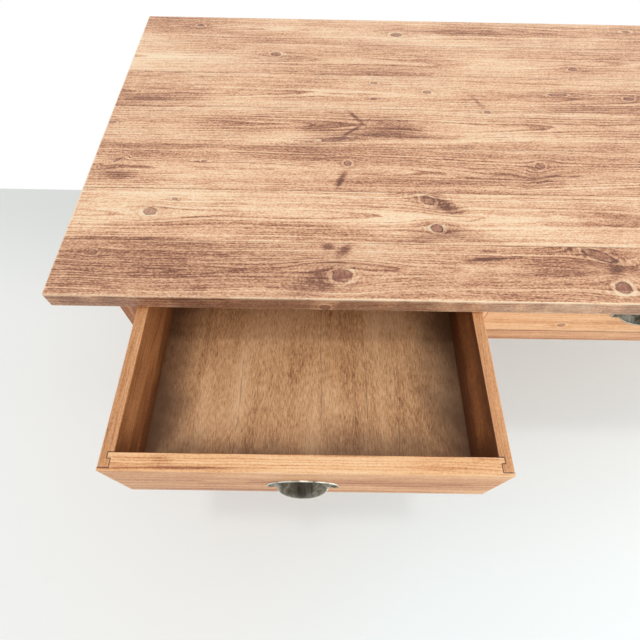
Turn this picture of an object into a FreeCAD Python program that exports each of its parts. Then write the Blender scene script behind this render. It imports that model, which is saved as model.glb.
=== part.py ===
# Farmhouse table with three drawers, drawn as a parametric document in millimetres.
# The origin lies on the floor below the middle of the tabletop.
# +X runs to the right along the table, +Y to the back and +Z up.
import FreeCAD, Part
import math
import os
import re

import Sketcher

# Driving dimensions, one row of the sheet each
SIZES = {
    "top_length": 2092,
    "top_depth": 850,
    "top_thickness": 32,
    "table_height": 780,
    "edge_board_trim": 7.25,
    "top_corner_radius": 6,
    "top_arris_radius": 4,
    "under_arris_chamfer": 2,
    "seam_chamfer": 0.8,
    "end_overhang": 70,
    "front_overhang": 52,
    "back_overhang": 52,
    "leg_width": 70,
    "leg_foot_width": 52,
    "leg_taper_start": 520,
    "leg_arris_chamfer": 2,
    "foot_chamfer": 3,
    "apron_thickness": 25,
    "apron_setback": 5,
    "apron_arris_radius": 1.5,
    "rail_height": 42,
    "rail_depth": 60,
    "rail_arris_radius": 4,
    "tenon_thickness": 10,
    "tenon_length": 38,
    "tenon_shoulder": 18,
    "rail_tenon_height": 28,
    "rail_tenon_thickness": 16,
    "peg_radius": 4,
    "peg_length": 46,
    "peg_inset": 16,
    "peg_spacing": 90,
    "stile_width": 42,
    "stile_depth": 40,
    "stile_tenon_length": 22,
    "stile_tenon_width": 26,
    "stile_tenon_thickness": 14,
    "bearer_width": 34,
    "bearer_height": 42,
    "stub_length": 12,
    "stub_thickness": 10,
    "runner_height": 24,
    "runner_ledge": 20,
    "guide_height": 22,
    "stop_length": 24,
    "stop_height": 16,
    "stop_width": 17,
    "stop_clearance": 0.3,
    "button_length": 32,
    "button_width": 30,
    "button_height": 20,
    "button_tongue_length": 10,
    "button_tongue_thickness": 8,
    "button_slot_width": 42,
    "button_screw_radius": 2,
    "button_screw_head_radius": 4,
    "button_screw_head_height": 2.4,
    "button_screw_grip": 18,
    "back_button_inset": 108,
    "drawer_height": 140,
    "drawer_back_clearance": 116,
    "drawer_open": 312,
    "drawer_top_gap": 4,
    "drawer_side_gap": 1,
    "run_clearance": 0.3,
    "front_thickness": 26,
    "side_thickness": 19,
    "back_thickness": 16,
    "back_inset": 12,
    "back_drop": 8,
    "lip_thickness": 5,
    "hook_depth": 12.3,
    "hook_width": 16,
    "tongue_reach": 8.3,
    "bottom_thickness": 6,
    "bottom_rise": 20,
    "groove_depth": 6,
    "front_groove_depth": 8,
    "drawer_arris_radius": 1.5,
    "pull_width": 111,
    "pull_height": 39,
    "pull_rise": 54,
    "left_pull_shift": 6.5,
    "plate_thickness": 2.2,
    "dome_width": 78,
    "dome_height": 34,
    "dome_reach": 19,
    "dome_wall": 1.8,
    "rim_height": 3.2,
    "rim_swell": 1.2,
    "pull_screw_spacing": 95,
    "pull_screw_rise": 8,
    "pull_screw_radius": 2,
    "pull_screw_head_radius": 4.2,
    "pull_screw_head_height": 1.8,
    "pull_screw_grip": 16,
    "cut_overrun": 5,
}
BOARD_COUNT = 7
# Boards whose middles carry a button of the side aprons, counted from the middle board
SIDE_BUTTON_BOARDS = (-2, 0, 2)
# Back buttons, counted in pitches from the middle of the apron
BACK_BUTTON_STEPS = (-2, -1, 0, 1, 2)
# Drawers by name, counted from the middle one
DRAWER_STEPS = {"left": -1, "middle": 0, "right": 1}
# Two points closer than this count as one when an edge is looked up
SAME_PLACE = 0.001
# Pegs, screws and their holes have flats, and look the same after a quarter turn
PEG_SIDES = 8
QUARTER_TURN = 90
# Flats round the half ovals of a cup pull: its plate, and its dome outside and inside
PLATE_SIDES = 12
DOME_SIDES = 7
DOME_INNER_SIDES = 3

# Places worked out from the driving dimensions
LEG_HEIGHT = "(table_height - top_thickness)"
OPENING_HEIGHT = "(run_clearance + drawer_height + drawer_top_gap)"
APRON_HEIGHT = f"(rail_height + {OPENING_HEIGHT})"
APRON_BOTTOM = f"({LEG_HEIGHT} - {APRON_HEIGHT})"
RAIL_TOP = f"({APRON_BOTTOM} + rail_height)"
BASE_FRONT = "(front_overhang - top_depth / 2)"
BASE_BACK = "(top_depth / 2 - back_overhang)"
BASE_END = "(top_length / 2 - end_overhang)"
LEG_INNER_X = f"({BASE_END} - leg_width)"
LEG_INNER_FRONT = f"({BASE_FRONT} + leg_width)"
LEG_INNER_BACK = f"({BASE_BACK} - leg_width)"
SIDE_APRON_MIDDLE = f"(({BASE_FRONT} + {BASE_BACK}) / 2)"
SIDE_APRON_HALF = f"(({BASE_BACK} - {BASE_FRONT}) / 2 - leg_width)"
APRON_INNER_X = f"({BASE_END} - apron_setback - apron_thickness)"
APRON_INNER_Y = f"({BASE_BACK} - apron_setback - apron_thickness)"
RAIL_BACK = f"({BASE_FRONT} + rail_depth)"
STILE_BACK = f"({BASE_FRONT} + stile_depth)"
BOARD_WIDTH = f"((top_depth + 2 * edge_board_trim) / {BOARD_COUNT})"
EDGE_BOARD_WIDTH = f"({BOARD_WIDTH} - edge_board_trim)"
GUIDE_WIDTH = "(leg_width - apron_setback - apron_thickness)"
OPENING_WIDTH = f"(2 * ({LEG_INNER_X} - stile_width) / {len(DRAWER_STEPS)})"
DRAWER_PITCH = f"({OPENING_WIDTH} + stile_width)"
STILE_MIDDLE = f"({DRAWER_PITCH} / 2)"
DRAWER_HALF = f"({OPENING_WIDTH} / 2 - drawer_side_gap)"
DRAWER_BOTTOM = f"({RAIL_TOP} + run_clearance)"
HOOK_END = "(lip_thickness + hook_depth)"
BOTTOM_HALF = f"({DRAWER_HALF} - side_thickness + groove_depth)"
BOTTOM_TOP = "(bottom_rise + bottom_thickness)"
DRAWER_LENGTH = f"({APRON_INNER_Y} - {BASE_FRONT} - drawer_back_clearance)"
BACK_REAR = f"({DRAWER_LENGTH} - back_inset)"
BACK_FRONT = f"({BACK_REAR} - back_thickness)"
# The axis that a cup pull's dome turns about lies this far behind its plate
DOME_AXIS = "((dome_height * dome_height - dome_reach * dome_reach) / (2 * dome_reach))"
PEG_ROWS = (
    f"({APRON_HEIGHT} / 2 - peg_spacing / 2)",
    f"({APRON_HEIGHT} / 2 + peg_spacing / 2)",
)

document = FreeCAD.newDocument("farmhouse_table")
sheet = document.addObject("Spreadsheet::Sheet", "sizes")
pieces = []


def fill_sheet():
    """Write every driving dimension into the sheet under its own alias."""
    for row, (name, size) in enumerate(SIZES.items(), start=1):
        sheet.set(f"A{row}", name)
        sheet.set(f"B{row}", str(size))
        sheet.setAlias(f"B{row}", name)
    document.recompute()


def bound(text):
    """The expression with each size's name pointed at its cell."""
    def point_at_cell(word):
        name = word.group()
        return f"sizes.{name}" if name in SIZES else name
    return re.sub(r"[a-z_]+", point_at_cell, text)


def value(text):
    """The number that an expression comes to now."""
    return float(sheet.evalExpression(bound(text)))


def times(sign, text):
    """The expression with the sign of one side of the table."""
    return f"({sign} * {text})"


def place(piece, x, y, z):
    """Bind the three coordinates of a piece's placement."""
    for axis, text in zip("xyz", (x, y, z)):
        piece.setExpression(f"Placement.Base.{axis}", bound(text))


def new_piece(label, x, y, z):
    """An empty body with its own label and place."""
    body = document.addObject("PartDesign::Body", label)
    body.Label = label
    place(body, x, y, z)
    pieces.append(body)
    return body


def new_sketch(body, plane, level):
    """A sketch on one of the body's origin planes, lifted along its normal."""
    sketch = body.newObject("Sketcher::SketchObject", "sketch")
    role = f"{plane}_Plane"
    support = [feature for feature in body.Origin.OriginFeatures if feature.Role == role]
    sketch.AttachmentSupport = [(support[0], "")]
    sketch.MapMode = "FlatFace"
    sketch.setExpression("AttachmentOffset.Base.z", bound(level))
    return sketch


def hold(sketch, kind, text, *items):
    """Add one bound dimension to a sketch."""
    held = sketch.addConstraint(Sketcher.Constraint(kind, *items, value(text)))
    sketch.setExpression(f"Constraints[{held}]", bound(text))


def pin_point(sketch, item, point, x, y):
    """Hold one point of a sketch at two bound distances from the origin."""
    hold(sketch, "DistanceX", x, -1, 1, item, point)
    hold(sketch, "DistanceY", y, -1, 1, item, point)


def draw_outline(sketch, corners):
    """Draw one closed outline with straight sides through bound corners."""
    first = sketch.GeometryCount
    count = len(corners)
    points = [FreeCAD.Vector(value(x), value(y), 0) for x, y in corners]
    for index in range(count):
        sketch.addGeometry(Part.LineSegment(points[index], points[(index + 1) % count]), False)
    for index in range(count):
        following = first + (index + 1) % count
        sketch.addConstraint(Sketcher.Constraint("Coincident", first + index, 2, following, 1))
    for index, (x, y) in enumerate(corners):
        pin_point(sketch, first + index, 1, x, y)


def draw_hole(sketch, x, y, radius):
    """Draw the outline of a hole with flats round a bound middle."""
    angles = [math.tau * corner / PEG_SIDES for corner in range(PEG_SIDES)]
    draw_outline(sketch, [
        (f"({x} + {math.cos(angle):.6f} * {radius})", f"({y} + {math.sin(angle):.6f} * {radius})")
        for angle in angles
    ])


def draw_half_oval(sketch, base, half, rise, sides):
    """Draw half an oval with flat sides on a straight base, as wide as twice its half."""
    angles = [math.pi * step / sides for step in range(sides + 1)]
    draw_outline(sketch, [
        (f"({math.cos(angle):.6f} * {half})", f"({base} + {math.sin(angle):.6f} * {rise})")
        for angle in angles
    ])


def eased_square(width, side_x, side_y):
    """The corners of a square from the origin to the given sides, with its corners cut."""
    low, high = "leg_arris_chamfer", f"({width} - leg_arris_chamfer)"
    corners = [
        (low, "0"), (high, "0"), (width, low), (width, high),
        (high, width), (low, width), ("0", high), ("0", low),
    ]
    return [(times(side_x, x), times(side_y, y)) for x, y in corners]


def corner_cut(x, y, out_x, out_y):
    """The triangle that takes one corner off a leg, with an overrun on its two outer sides."""
    reach = "(leg_arris_chamfer + cut_overrun)"
    over_x = f"({x} + {out_x} * cut_overrun)"
    over_y = f"({y} + {out_y} * cut_overrun)"
    return [
        (f"({x} - {out_x} * {reach})", over_y),
        (over_x, over_y),
        (over_x, f"({y} - {out_y} * {reach})"),
    ]


def extrude(body, sketch, kind, length, reverse):
    """A pad or a pocket of a sketch, with a bound length."""
    feature = body.newObject(f"PartDesign::{kind}", kind.lower())
    feature.Profile = sketch
    feature.setExpression("Length", bound(length))
    feature.Reversed = reverse
    return feature


def pad_plan(body, corners, height, level="0"):
    """Raise an outline drawn in plan."""
    sketch = new_sketch(body, "XY", level)
    draw_outline(sketch, corners)
    extrude(body, sketch, "Pad", height, False)


def rectangle(low_x, high_x, low_y, high_y):
    """The four corners of an outline with square sides."""
    return [(low_x, low_y), (high_x, low_y), (high_x, high_y), (low_x, high_y)]


def revolve(body, kind, sketch, angle, both_ways):
    """A revolution or a groove of a sketch about its own level axis."""
    feature = body.newObject(f"PartDesign::{kind}", kind.lower())
    feature.Profile = sketch
    feature.ReferenceAxis = (sketch, ["H_Axis"])
    feature.Angle = angle
    feature.Reversed = not both_ways
    feature.Midplane = both_ways


def pad_block(body, spans):
    """Add a block given by its low and high x, y and z."""
    (low_x, high_x), (low_y, high_y), (low_z, high_z) = spans
    pad_plan(body, rectangle(low_x, high_x, low_y, high_y), f"{high_z} - {low_z}", low_z)


def cut_blocks(body, spans_list):
    """Cut blocks that share one low and high z."""
    low_z, high_z = spans_list[0][2]
    sketch = new_sketch(body, "XY", low_z)
    for (low_x, high_x), (low_y, high_y), _ in spans_list:
        draw_outline(sketch, rectangle(low_x, high_x, low_y, high_y))
    extrude(body, sketch, "Pocket", f"{high_z} - {low_z}", True)


def bore(body, plane, spots, radius, depth, reverse):
    """Cut blind holes square to one of the origin planes."""
    sketch = new_sketch(body, plane, "0")
    for x, y in spots:
        draw_hole(sketch, x, y, radius)
    extrude(body, sketch, "Pocket", depth, reverse)


def cut_through(body, sketch):
    """Cut a sketch right through the body, both ways from its plane."""
    feature = extrude(body, sketch, "Pocket", "cut_overrun", False)
    feature.Type = "ThroughAll"
    feature.Midplane = True


def bore_through(body, plane, spots, radius):
    """Cut holes right through the body, both ways from the plane."""
    sketch = new_sketch(body, plane, "0")
    for x, y in spots:
        draw_hole(sketch, x, y, radius)
    cut_through(body, sketch)


def edges_at(body, **planes):
    """Names of the tip's edges that lie in all the planes given, such as z=top."""
    document.recompute()
    names = []
    for number, edge in enumerate(body.Tip.Shape.Edges, start=1):
        box = edge.BoundBox
        spans = {"x": (box.XMin, box.XMax), "y": (box.YMin, box.YMax), "z": (box.ZMin, box.ZMax)}
        ends = [end - value(text) for axis, text in planes.items() for end in spans[axis]]
        if max(abs(end) for end in ends) < SAME_PLACE:
            names.append(f"Edge{number}")
    return names


def ease(body, kind, names, size):
    """Round or chamfer named edges of the body's tip."""
    feature = body.newObject(f"PartDesign::{kind}", kind.lower())
    feature.Base = (body.Tip if body.Tip is not feature else feature.BaseFeature, names)
    feature.setExpression("Radius" if kind == "Fillet" else "Size", bound(size))


def new_solid(kind, name, **sizes):
    """A bound primitive, such as a box or a cylinder."""
    solid = document.addObject(f"Part::{kind}", name)
    for key, text in sizes.items():
        solid.setExpression(key, bound(text))
    return solid


def new_rod(name, radius, length):
    """A bound rod with flats, upright on its own origin."""
    rod = new_solid("Prism", name, Circumradius=radius, Height=length)
    rod.Polygon = PEG_SIDES
    return rod


def turn(solid, axis, degrees):
    """Set which way a primitive or a boolean points."""
    solid.Placement = FreeCAD.Placement(FreeCAD.Vector(), FreeCAD.Rotation(axis, degrees))


def boolean(kind, name, base, tool):
    """The cut or common of two solids."""
    result = document.addObject(f"Part::{kind}", name)
    result.Base = base
    result.Tool = tool
    return result


def join(name, members):
    """The fusion of several solids."""
    result = document.addObject("Part::MultiFuse", name)
    result.Shapes = members
    return result


def group(label, members):
    """Several like solids that share one node."""
    compound = document.addObject("Part::Compound", label)
    compound.Label = label
    compound.Links = members
    pieces.append(compound)


ALONG_X = (FreeCAD.Vector(0, 1, 0), QUARTER_TURN)
ALONG_Y = (FreeCAD.Vector(1, 0, 0), -QUARTER_TURN)


# Tabletop

def board_span(index):
    """Width and middle of one board, counted from the front."""
    if index == 0:
        return EDGE_BOARD_WIDTH, f"({EDGE_BOARD_WIDTH} / 2 - top_depth / 2)"
    if index == BOARD_COUNT - 1:
        return EDGE_BOARD_WIDTH, f"(top_depth / 2 - {EDGE_BOARD_WIDTH} / 2)"
    steps = index - (BOARD_COUNT - 1) // 2
    return BOARD_WIDTH, f"({steps} * {BOARD_WIDTH})"


def side_button_spots(index):
    """Middles of the side buttons' screws that enter one board, in its own plan."""
    if index - (BOARD_COUNT - 1) // 2 not in SIDE_BUTTON_BOARDS:
        return []
    reach = f"({APRON_INNER_X} - button_length / 2)"
    return [(times(sign, reach), "0") for sign in (-1, 1)]


def back_button_place(step):
    """Where one of the back buttons lies along the apron."""
    return f"({step} * ({LEG_INNER_X} - back_button_inset) / {max(BACK_BUTTON_STEPS)})"


def back_button_spots(middle):
    """Middles of the back buttons' screws, in the plan of the rear board."""
    reach = f"({APRON_INNER_Y} - button_length / 2 - {middle})"
    return [(back_button_place(step), reach) for step in BACK_BUTTON_STEPS]


def make_board(index):
    """One board of the top, rounded outside and eased at its seams."""
    width, middle = board_span(index)
    half = f"({width} / 2)"
    board = new_piece(f"top_board_{index + 1}", "0", middle, LEG_HEIGHT)
    corners = rectangle("(-top_length / 2)", "(top_length / 2)", f"(-{half})", half)
    pad_plan(board, corners, "top_thickness")
    outer = {0: f"(-{half})", BOARD_COUNT - 1: half}.get(index)
    ends = ("(-top_length / 2)", "(top_length / 2)")
    if outer:
        names = [name for end in ends for name in edges_at(board, x=end, y=outer)]
        ease(board, "Fillet", names, "top_corner_radius")
    seams = [side for side in (f"(-{half})", half) if side != outer]
    arrises = (
        ("top_thickness", "Fillet", "top_arris_radius"),
        ("0", "Chamfer", "under_arris_chamfer"),
    )
    for level, kind, size in arrises:
        names = set(edges_at(board, z=level))
        for side in seams:
            names -= set(edges_at(board, y=side, z=level))
        ease(board, kind, sorted(names), size)
    names = [name for side in seams for name in edges_at(board, y=side)]
    ease(board, "Chamfer", names, "seam_chamfer")
    spots = side_button_spots(index)
    if index == BOARD_COUNT - 1:
        spots = back_button_spots(middle)
    if spots:
        bore(board, "XY", spots, "button_screw_radius", "button_screw_grip", True)


# Legs and the rails between them

def make_leg(label, side, depth_side):
    """A square leg, tapered on its two inner faces, morticed and bored for its pegs."""
    inward_x, inward_y = -side, -depth_side
    outer_y = BASE_BACK if depth_side > 0 else BASE_FRONT
    leg = new_piece(label, times(side, BASE_END), outer_y, "0")
    pad_plan(leg, eased_square("leg_width", inward_x, inward_y), LEG_HEIGHT)
    past = "(leg_width + cut_overrun)"
    for plane, inward in (("XZ", inward_x), ("YZ", inward_y)):
        sketch = new_sketch(leg, plane, "0")
        draw_outline(sketch, [
            (times(inward, "leg_width"), "leg_taper_start"),
            (times(inward, "leg_foot_width"), "0"),
            (times(inward, past), "0"),
            (times(inward, past), "leg_taper_start"),
        ])
        cut_through(leg, sketch)
    for corner_x, corner_y in ((1, 1), (1, 0), (0, 1)):
        sections = []
        for level, width in (("0", "leg_foot_width"), ("leg_taper_start", "leg_width")):
            sketch = new_sketch(leg, "XY", level)
            corners = corner_cut(times(corner_x, width), times(corner_y, width),
                                 2 * corner_x - 1, 2 * corner_y - 1)
            draw_outline(sketch, [(times(inward_x, x), times(inward_y, y)) for x, y in corners])
            sections.append(sketch)
        loft = leg.newObject("PartDesign::SubtractiveLoft", "loft")
        loft.Profile = sections[0]
        loft.Sections = sections[1:]
        loft.Ruled = True
    ease(leg, "Chamfer", edges_at(leg, z="0"), "foot_chamfer")
    cut_leg_joints(leg, inward_x, inward_y, depth_side > 0)


def cut_leg_joints(leg, inward_x, inward_y, at_back):
    """Mortices of one leg, and the blind holes of the pegs that lock them."""
    middle = "(apron_setback + apron_thickness / 2)"
    low_z = f"({APRON_BOTTOM} + tenon_shoulder)"
    high_z = f"({LEG_HEIGHT} - tenon_shoulder)"
    cheek = ("tenon_thickness / 2",) * 2
    side_x = [times(inward_x, f"({middle} {sign} {half})") for sign, half in zip("-+", cheek)]
    side_y = [times(inward_y, "(leg_width - tenon_length)"), times(inward_y, "leg_width")]
    cut_blocks(leg, [(side_x, side_y, (low_z, high_z))])
    rows = [f"({APRON_BOTTOM} + {row})" for row in PEG_ROWS]
    peg_spot = "(leg_width - peg_inset)"
    bore(leg, "YZ", [(times(inward_y, peg_spot), row) for row in rows],
         "peg_radius", "peg_length", inward_x > 0)
    end_x = [times(inward_x, "(leg_width - tenon_length)"), times(inward_x, "leg_width")]
    if at_back:
        end_y = [times(inward_y, f"({middle} {sign} {half})") for sign, half in zip("-+", cheek)]
        cut_blocks(leg, [(end_x, end_y, (low_z, high_z))])
    else:
        rail = rail_tenon_spans()
        end_y = [times(inward_y, text) for text in rail[0]]
        cut_blocks(leg, [(end_x, end_y, [f"({APRON_BOTTOM} + {text})" for text in rail[1]])])
        rows = [f"({APRON_BOTTOM} + rail_height / 2)"]
    bore(leg, "XZ", [(times(inward_x, peg_spot), row) for row in rows],
         "peg_radius", "peg_length", inward_y < 0)


def rail_tenon_spans():
    """Depth span and height span of the front rail's tenons, from its front and foot."""
    depth = [f"(rail_depth / 2 {sign} rail_tenon_thickness / 2)" for sign in "-+"]
    height = [f"(rail_height / 2 {sign} rail_tenon_height / 2)" for sign in "-+"]
    return depth, height


def make_side_apron(label, side):
    """The apron at one end of the table, between a front leg and a back leg."""
    inward = -side
    apron = new_piece(label, times(side, f"({BASE_END} - apron_setback)"), SIDE_APRON_MIDDLE,
                      APRON_BOTTOM)
    across = ("0", times(inward, "apron_thickness"))
    pad_block(apron, (across, (f"(-{SIDE_APRON_HALF})", SIDE_APRON_HALF), ("0", APRON_HEIGHT)))
    names = [name for x in across for name in edges_at(apron, x=x, z="0")]
    ease(apron, "Fillet", names, "apron_arris_radius")
    cheeks = [times(inward, f"(apron_thickness / 2 {sign} tenon_thickness / 2)") for sign in "-+"]
    heights = ("tenon_shoulder", f"({APRON_HEIGHT} - tenon_shoulder)")
    spots = []
    for end in (-1, 1):
        reach = (times(end, SIDE_APRON_HALF), times(end, f"({SIDE_APRON_HALF} + tenon_length)"))
        pad_block(apron, (cheeks, reach, heights))
        peg = times(end, f"({SIDE_APRON_HALF} + peg_inset)")
        spots += [(peg, row) for row in PEG_ROWS]
    bore_through(apron, "YZ", spots, "peg_radius")
    depth = (times(inward, "(apron_thickness - button_tongue_length)"),
             times(inward, "(apron_thickness + cut_overrun)"))
    slots = []
    for step in SIDE_BUTTON_BOARDS:
        middle = f"({step} * {BOARD_WIDTH} - {SIDE_APRON_MIDDLE})"
        spans = [f"({middle} {sign} button_slot_width / 2)" for sign in "-+"]
        slots.append((depth, spans, slot_heights()))
    cut_blocks(apron, slots)


def slot_heights():
    """Low and high z of the button slots, from the apron's foot."""
    low = f"({APRON_HEIGHT} - button_height)"
    return low, f"({low} + button_tongue_thickness)"


def make_back_apron():
    """The apron along the back, with slots for its buttons and seats for six rails."""
    apron = new_piece("back_apron", "0", f"({BASE_BACK} - apron_setback)", APRON_BOTTOM)
    across = ("(-apron_thickness)", "0")
    pad_block(apron, ((f"(-{LEG_INNER_X})", LEG_INNER_X), across, ("0", APRON_HEIGHT)))
    names = [name for y in across for name in edges_at(apron, y=y, z="0")]
    ease(apron, "Fillet", names, "apron_arris_radius")
    cheeks = [f"(-apron_thickness / 2 {sign} tenon_thickness / 2)" for sign in "-+"]
    heights = ("tenon_shoulder", f"({APRON_HEIGHT} - tenon_shoulder)")
    spots = []
    for end in (-1, 1):
        reach = (times(end, LEG_INNER_X), times(end, f"({LEG_INNER_X} + tenon_length)"))
        pad_block(apron, (reach, cheeks, heights))
        peg = times(end, f"({LEG_INNER_X} + peg_inset)")
        spots += [(peg, row) for row in PEG_ROWS]
    bore_through(apron, "XZ", spots, "peg_radius")
    depth = ("(-apron_thickness - cut_overrun)", "(-apron_thickness + button_tongue_length)")
    slots = []
    for step in BACK_BUTTON_STEPS:
        spans = [f"({back_button_place(step)} {sign} button_slot_width / 2)" for sign in "-+"]
        slots.append((spans, depth, slot_heights()))
    cut_blocks(apron, slots)
    seat = ("(-apron_thickness - cut_overrun)", "(-apron_thickness + stub_length)")
    cut_blocks(apron, [(span, seat, stub_heights("rail_height")) for span in runner_stub_spans()])
    bearer_top = f"({APRON_HEIGHT} - bearer_height / 2 + stub_thickness / 2)"
    heights = (f"({bearer_top} - stub_thickness)", bearer_top)
    cut_blocks(apron, [(span, seat, heights) for span in at_stiles("bearer_width / 2")])


def at_stiles(half):
    """Spans along X, one about the middle of each stile."""
    return [[f"({side} * {STILE_MIDDLE} {sign} {half})" for sign in "-+"] for side in (-1, 1)]


def runner_stub_spans():
    """Spans along X of the stubs on the ends of the four runners."""
    side = [f"({LEG_INNER_X} - runner_ledge)", LEG_INNER_X]
    inner = at_stiles("(stile_width / 2 + runner_ledge)")
    return [[times(-1, text) for text in side], *inner, side]


def stub_heights(runner_top):
    """Low and high z of the runners' stubs below a given runner top."""
    high = f"({runner_top} - runner_height / 2 + stub_thickness / 2)"
    return f"({high} - stub_thickness)", high


def make_front_rail():
    """The rail below the drawers, with its front top arris rounded over."""
    rail = new_piece("front_rail", "0", BASE_FRONT, APRON_BOTTOM)
    pad_block(rail, ((f"(-{LEG_INNER_X})", LEG_INNER_X), ("0", "rail_depth"), ("0", "rail_height")))
    ease(rail, "Fillet", edges_at(rail, y="0", z="rail_height"), "rail_arris_radius")
    ease(rail, "Fillet", edges_at(rail, y="0", z="0"), "apron_arris_radius")
    depth, height = rail_tenon_spans()
    spots = []
    for end in (-1, 1):
        reach = (times(end, LEG_INNER_X), times(end, f"({LEG_INNER_X} + tenon_length)"))
        pad_block(rail, (reach, depth, height))
        spots.append((times(end, f"({LEG_INNER_X} + peg_inset)"), "(rail_height / 2)"))
    bore_through(rail, "XZ", spots, "peg_radius")
    seat = ("(rail_depth - stub_length)", "(rail_depth + cut_overrun)")
    cut_blocks(rail, [(span, seat, stub_heights("rail_height")) for span in runner_stub_spans()])
    along = stile_tenon_depths()
    mortice = ("(rail_height - stile_tenon_length)", "rail_height")
    cut_blocks(rail, [(span, along, mortice) for span in at_stiles("stile_tenon_width / 2")])


def stile_tenon_depths():
    """Depth span of a stile's tenon, from its front."""
    return [f"(stile_depth / 2 {sign} stile_tenon_thickness / 2)" for sign in "-+"]


def make_stile(label, side):
    """An upright between two drawers, tenoned into the rail below it."""
    stile = new_piece(label, times(side, STILE_MIDDLE), BASE_FRONT, RAIL_TOP)
    across = ("(-stile_width / 2)", "(stile_width / 2)")
    pad_block(stile, (across, ("0", "stile_depth"), ("0", OPENING_HEIGHT)))
    names = [name for x in across for name in edges_at(stile, x=x, y="0")]
    ease(stile, "Fillet", names, "apron_arris_radius")
    tenon = ("(-stile_tenon_width / 2)", "(stile_tenon_width / 2)")
    pad_block(stile, (tenon, stile_tenon_depths(), ("(-stile_tenon_length)", "0")))
    seat = ("(stile_depth - stub_length)", "(stile_depth + cut_overrun)")
    high = f"({OPENING_HEIGHT} - bearer_height / 2 + stub_thickness / 2)"
    span = ("(-bearer_width / 2)", "(bearer_width / 2)")
    cut_blocks(stile, [(span, seat, (f"({high} - stub_thickness)", high))])


def make_bearer(label, side):
    """A bearer below the top, from a stile to the back apron."""
    bearer = new_piece(label, times(side, STILE_MIDDLE), "0", f"({LEG_HEIGHT} - bearer_height)")
    across = ("(-bearer_width / 2)", "(bearer_width / 2)")
    pad_block(bearer, (across, (STILE_BACK, APRON_INNER_Y), ("0", "bearer_height")))
    heights = [f"(bearer_height / 2 {sign} stub_thickness / 2)" for sign in "-+"]
    pad_block(bearer, (across, (f"({STILE_BACK} - stub_length)", STILE_BACK), heights))
    pad_block(bearer, (across, (APRON_INNER_Y, f"({APRON_INNER_Y} + stub_length)"), heights))


# Runners, guides and stops

def add_stubs(runner, across):
    """Stub tenons on both ends of a runner."""
    heights = stub_heights("runner_height")
    pad_block(runner, (across, (f"({RAIL_BACK} - stub_length)", RAIL_BACK), heights))
    pad_block(runner, (across, (APRON_INNER_Y, f"({APRON_INNER_Y} + stub_length)"), heights))


def make_side_runner(label, side):
    """A runner under one end's drawer side, let in around the two legs."""
    inward = -side
    runner = new_piece(label, times(side, LEG_INNER_X), "0", f"({RAIL_TOP} - runner_height)")
    outer = times(inward, times(-1, GUIDE_WIDTH))
    ledge = times(inward, "runner_ledge")
    pad_plan(runner, [
        (outer, LEG_INNER_FRONT),
        ("0", LEG_INNER_FRONT),
        ("0", RAIL_BACK),
        (ledge, RAIL_BACK),
        (ledge, APRON_INNER_Y),
        ("0", APRON_INNER_Y),
        ("0", LEG_INNER_BACK),
        (outer, LEG_INNER_BACK),
    ], "runner_height")
    add_stubs(runner, ("0", ledge))


def make_inner_runner(label, side):
    """A wide runner that carries the near sides of two drawers."""
    runner = new_piece(label, times(side, STILE_MIDDLE), "0", f"({RAIL_TOP} - runner_height)")
    half = "(stile_width / 2 + runner_ledge)"
    across = (f"(-{half})", half)
    pad_block(runner, (across, (RAIL_BACK, APRON_INNER_Y), ("0", "runner_height")))
    add_stubs(runner, across)


def make_side_guide(label, side):
    """The strip that fills the space between a side apron and the drawer's path."""
    guide = new_piece(label, times(side, LEG_INNER_X), "0", RAIL_TOP)
    across = ("0", times(side, GUIDE_WIDTH))
    pad_block(guide, (across, (LEG_INNER_FRONT, LEG_INNER_BACK), ("0", "guide_height")))
    names = edges_at(guide, x="0", z="guide_height")
    ease(guide, "Fillet", names, "apron_arris_radius")


def make_inner_guide(label, side):
    """The strip between the paths of two drawers."""
    guide = new_piece(label, times(side, STILE_MIDDLE), "0", RAIL_TOP)
    across = ("(-stile_width / 2)", "(stile_width / 2)")
    pad_block(guide, (across, (STILE_BACK, APRON_INNER_Y), ("0", "guide_height")))
    names = [name for x in across for name in edges_at(guide, x=x, z="guide_height")]
    ease(guide, "Fillet", names, "apron_arris_radius")


def make_drawer_stops():
    """Blocks on the runners that meet the drawer sides when a drawer is shut."""
    low_y = f"({BASE_FRONT} + {DRAWER_LENGTH} + stop_clearance)"
    blocks = []
    for name, step in DRAWER_STEPS.items():
        middle = times(step, DRAWER_PITCH)
        for end, low_x in (("left", f"({middle} - {DRAWER_HALF})"),
                           ("right", f"({middle} + {DRAWER_HALF} - stop_width)")):
            block = new_solid("Box", f"{name}_stop_{end}", Length="stop_width",
                              Width="stop_length", Height="stop_height")
            place(block, low_x, low_y, RAIL_TOP)
            blocks.append(block)
    group("drawer_stops", blocks)


# Pegs, buttons and their screws

def make_pegs():
    """Pegs that lock the tenons, with their ends flush with the legs."""
    pegs = []

    def add_peg(way, x, y, z):
        peg = new_rod("peg", "peg_radius", "peg_length")
        turn(peg, *way)
        place(peg, x, y, z)
        pegs.append(peg)

    rows = [f"({APRON_BOTTOM} + {row})" for row in PEG_ROWS]
    near_y = (f"({LEG_INNER_FRONT} - peg_inset)", f"({LEG_INNER_BACK} + peg_inset)")
    for side in (-1, 1):
        start = f"(-{BASE_END})" if side < 0 else f"({BASE_END} - peg_length)"
        across = times(side, f"({LEG_INNER_X} + peg_inset)")
        for row in rows:
            for y in near_y:
                add_peg(ALONG_X, start, y, row)
            add_peg(ALONG_Y, across, f"({BASE_BACK} - peg_length)", row)
        add_peg(ALONG_Y, across, BASE_FRONT, f"({APRON_BOTTOM} + rail_height / 2)")
    group("joint_pegs", pegs)


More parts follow.
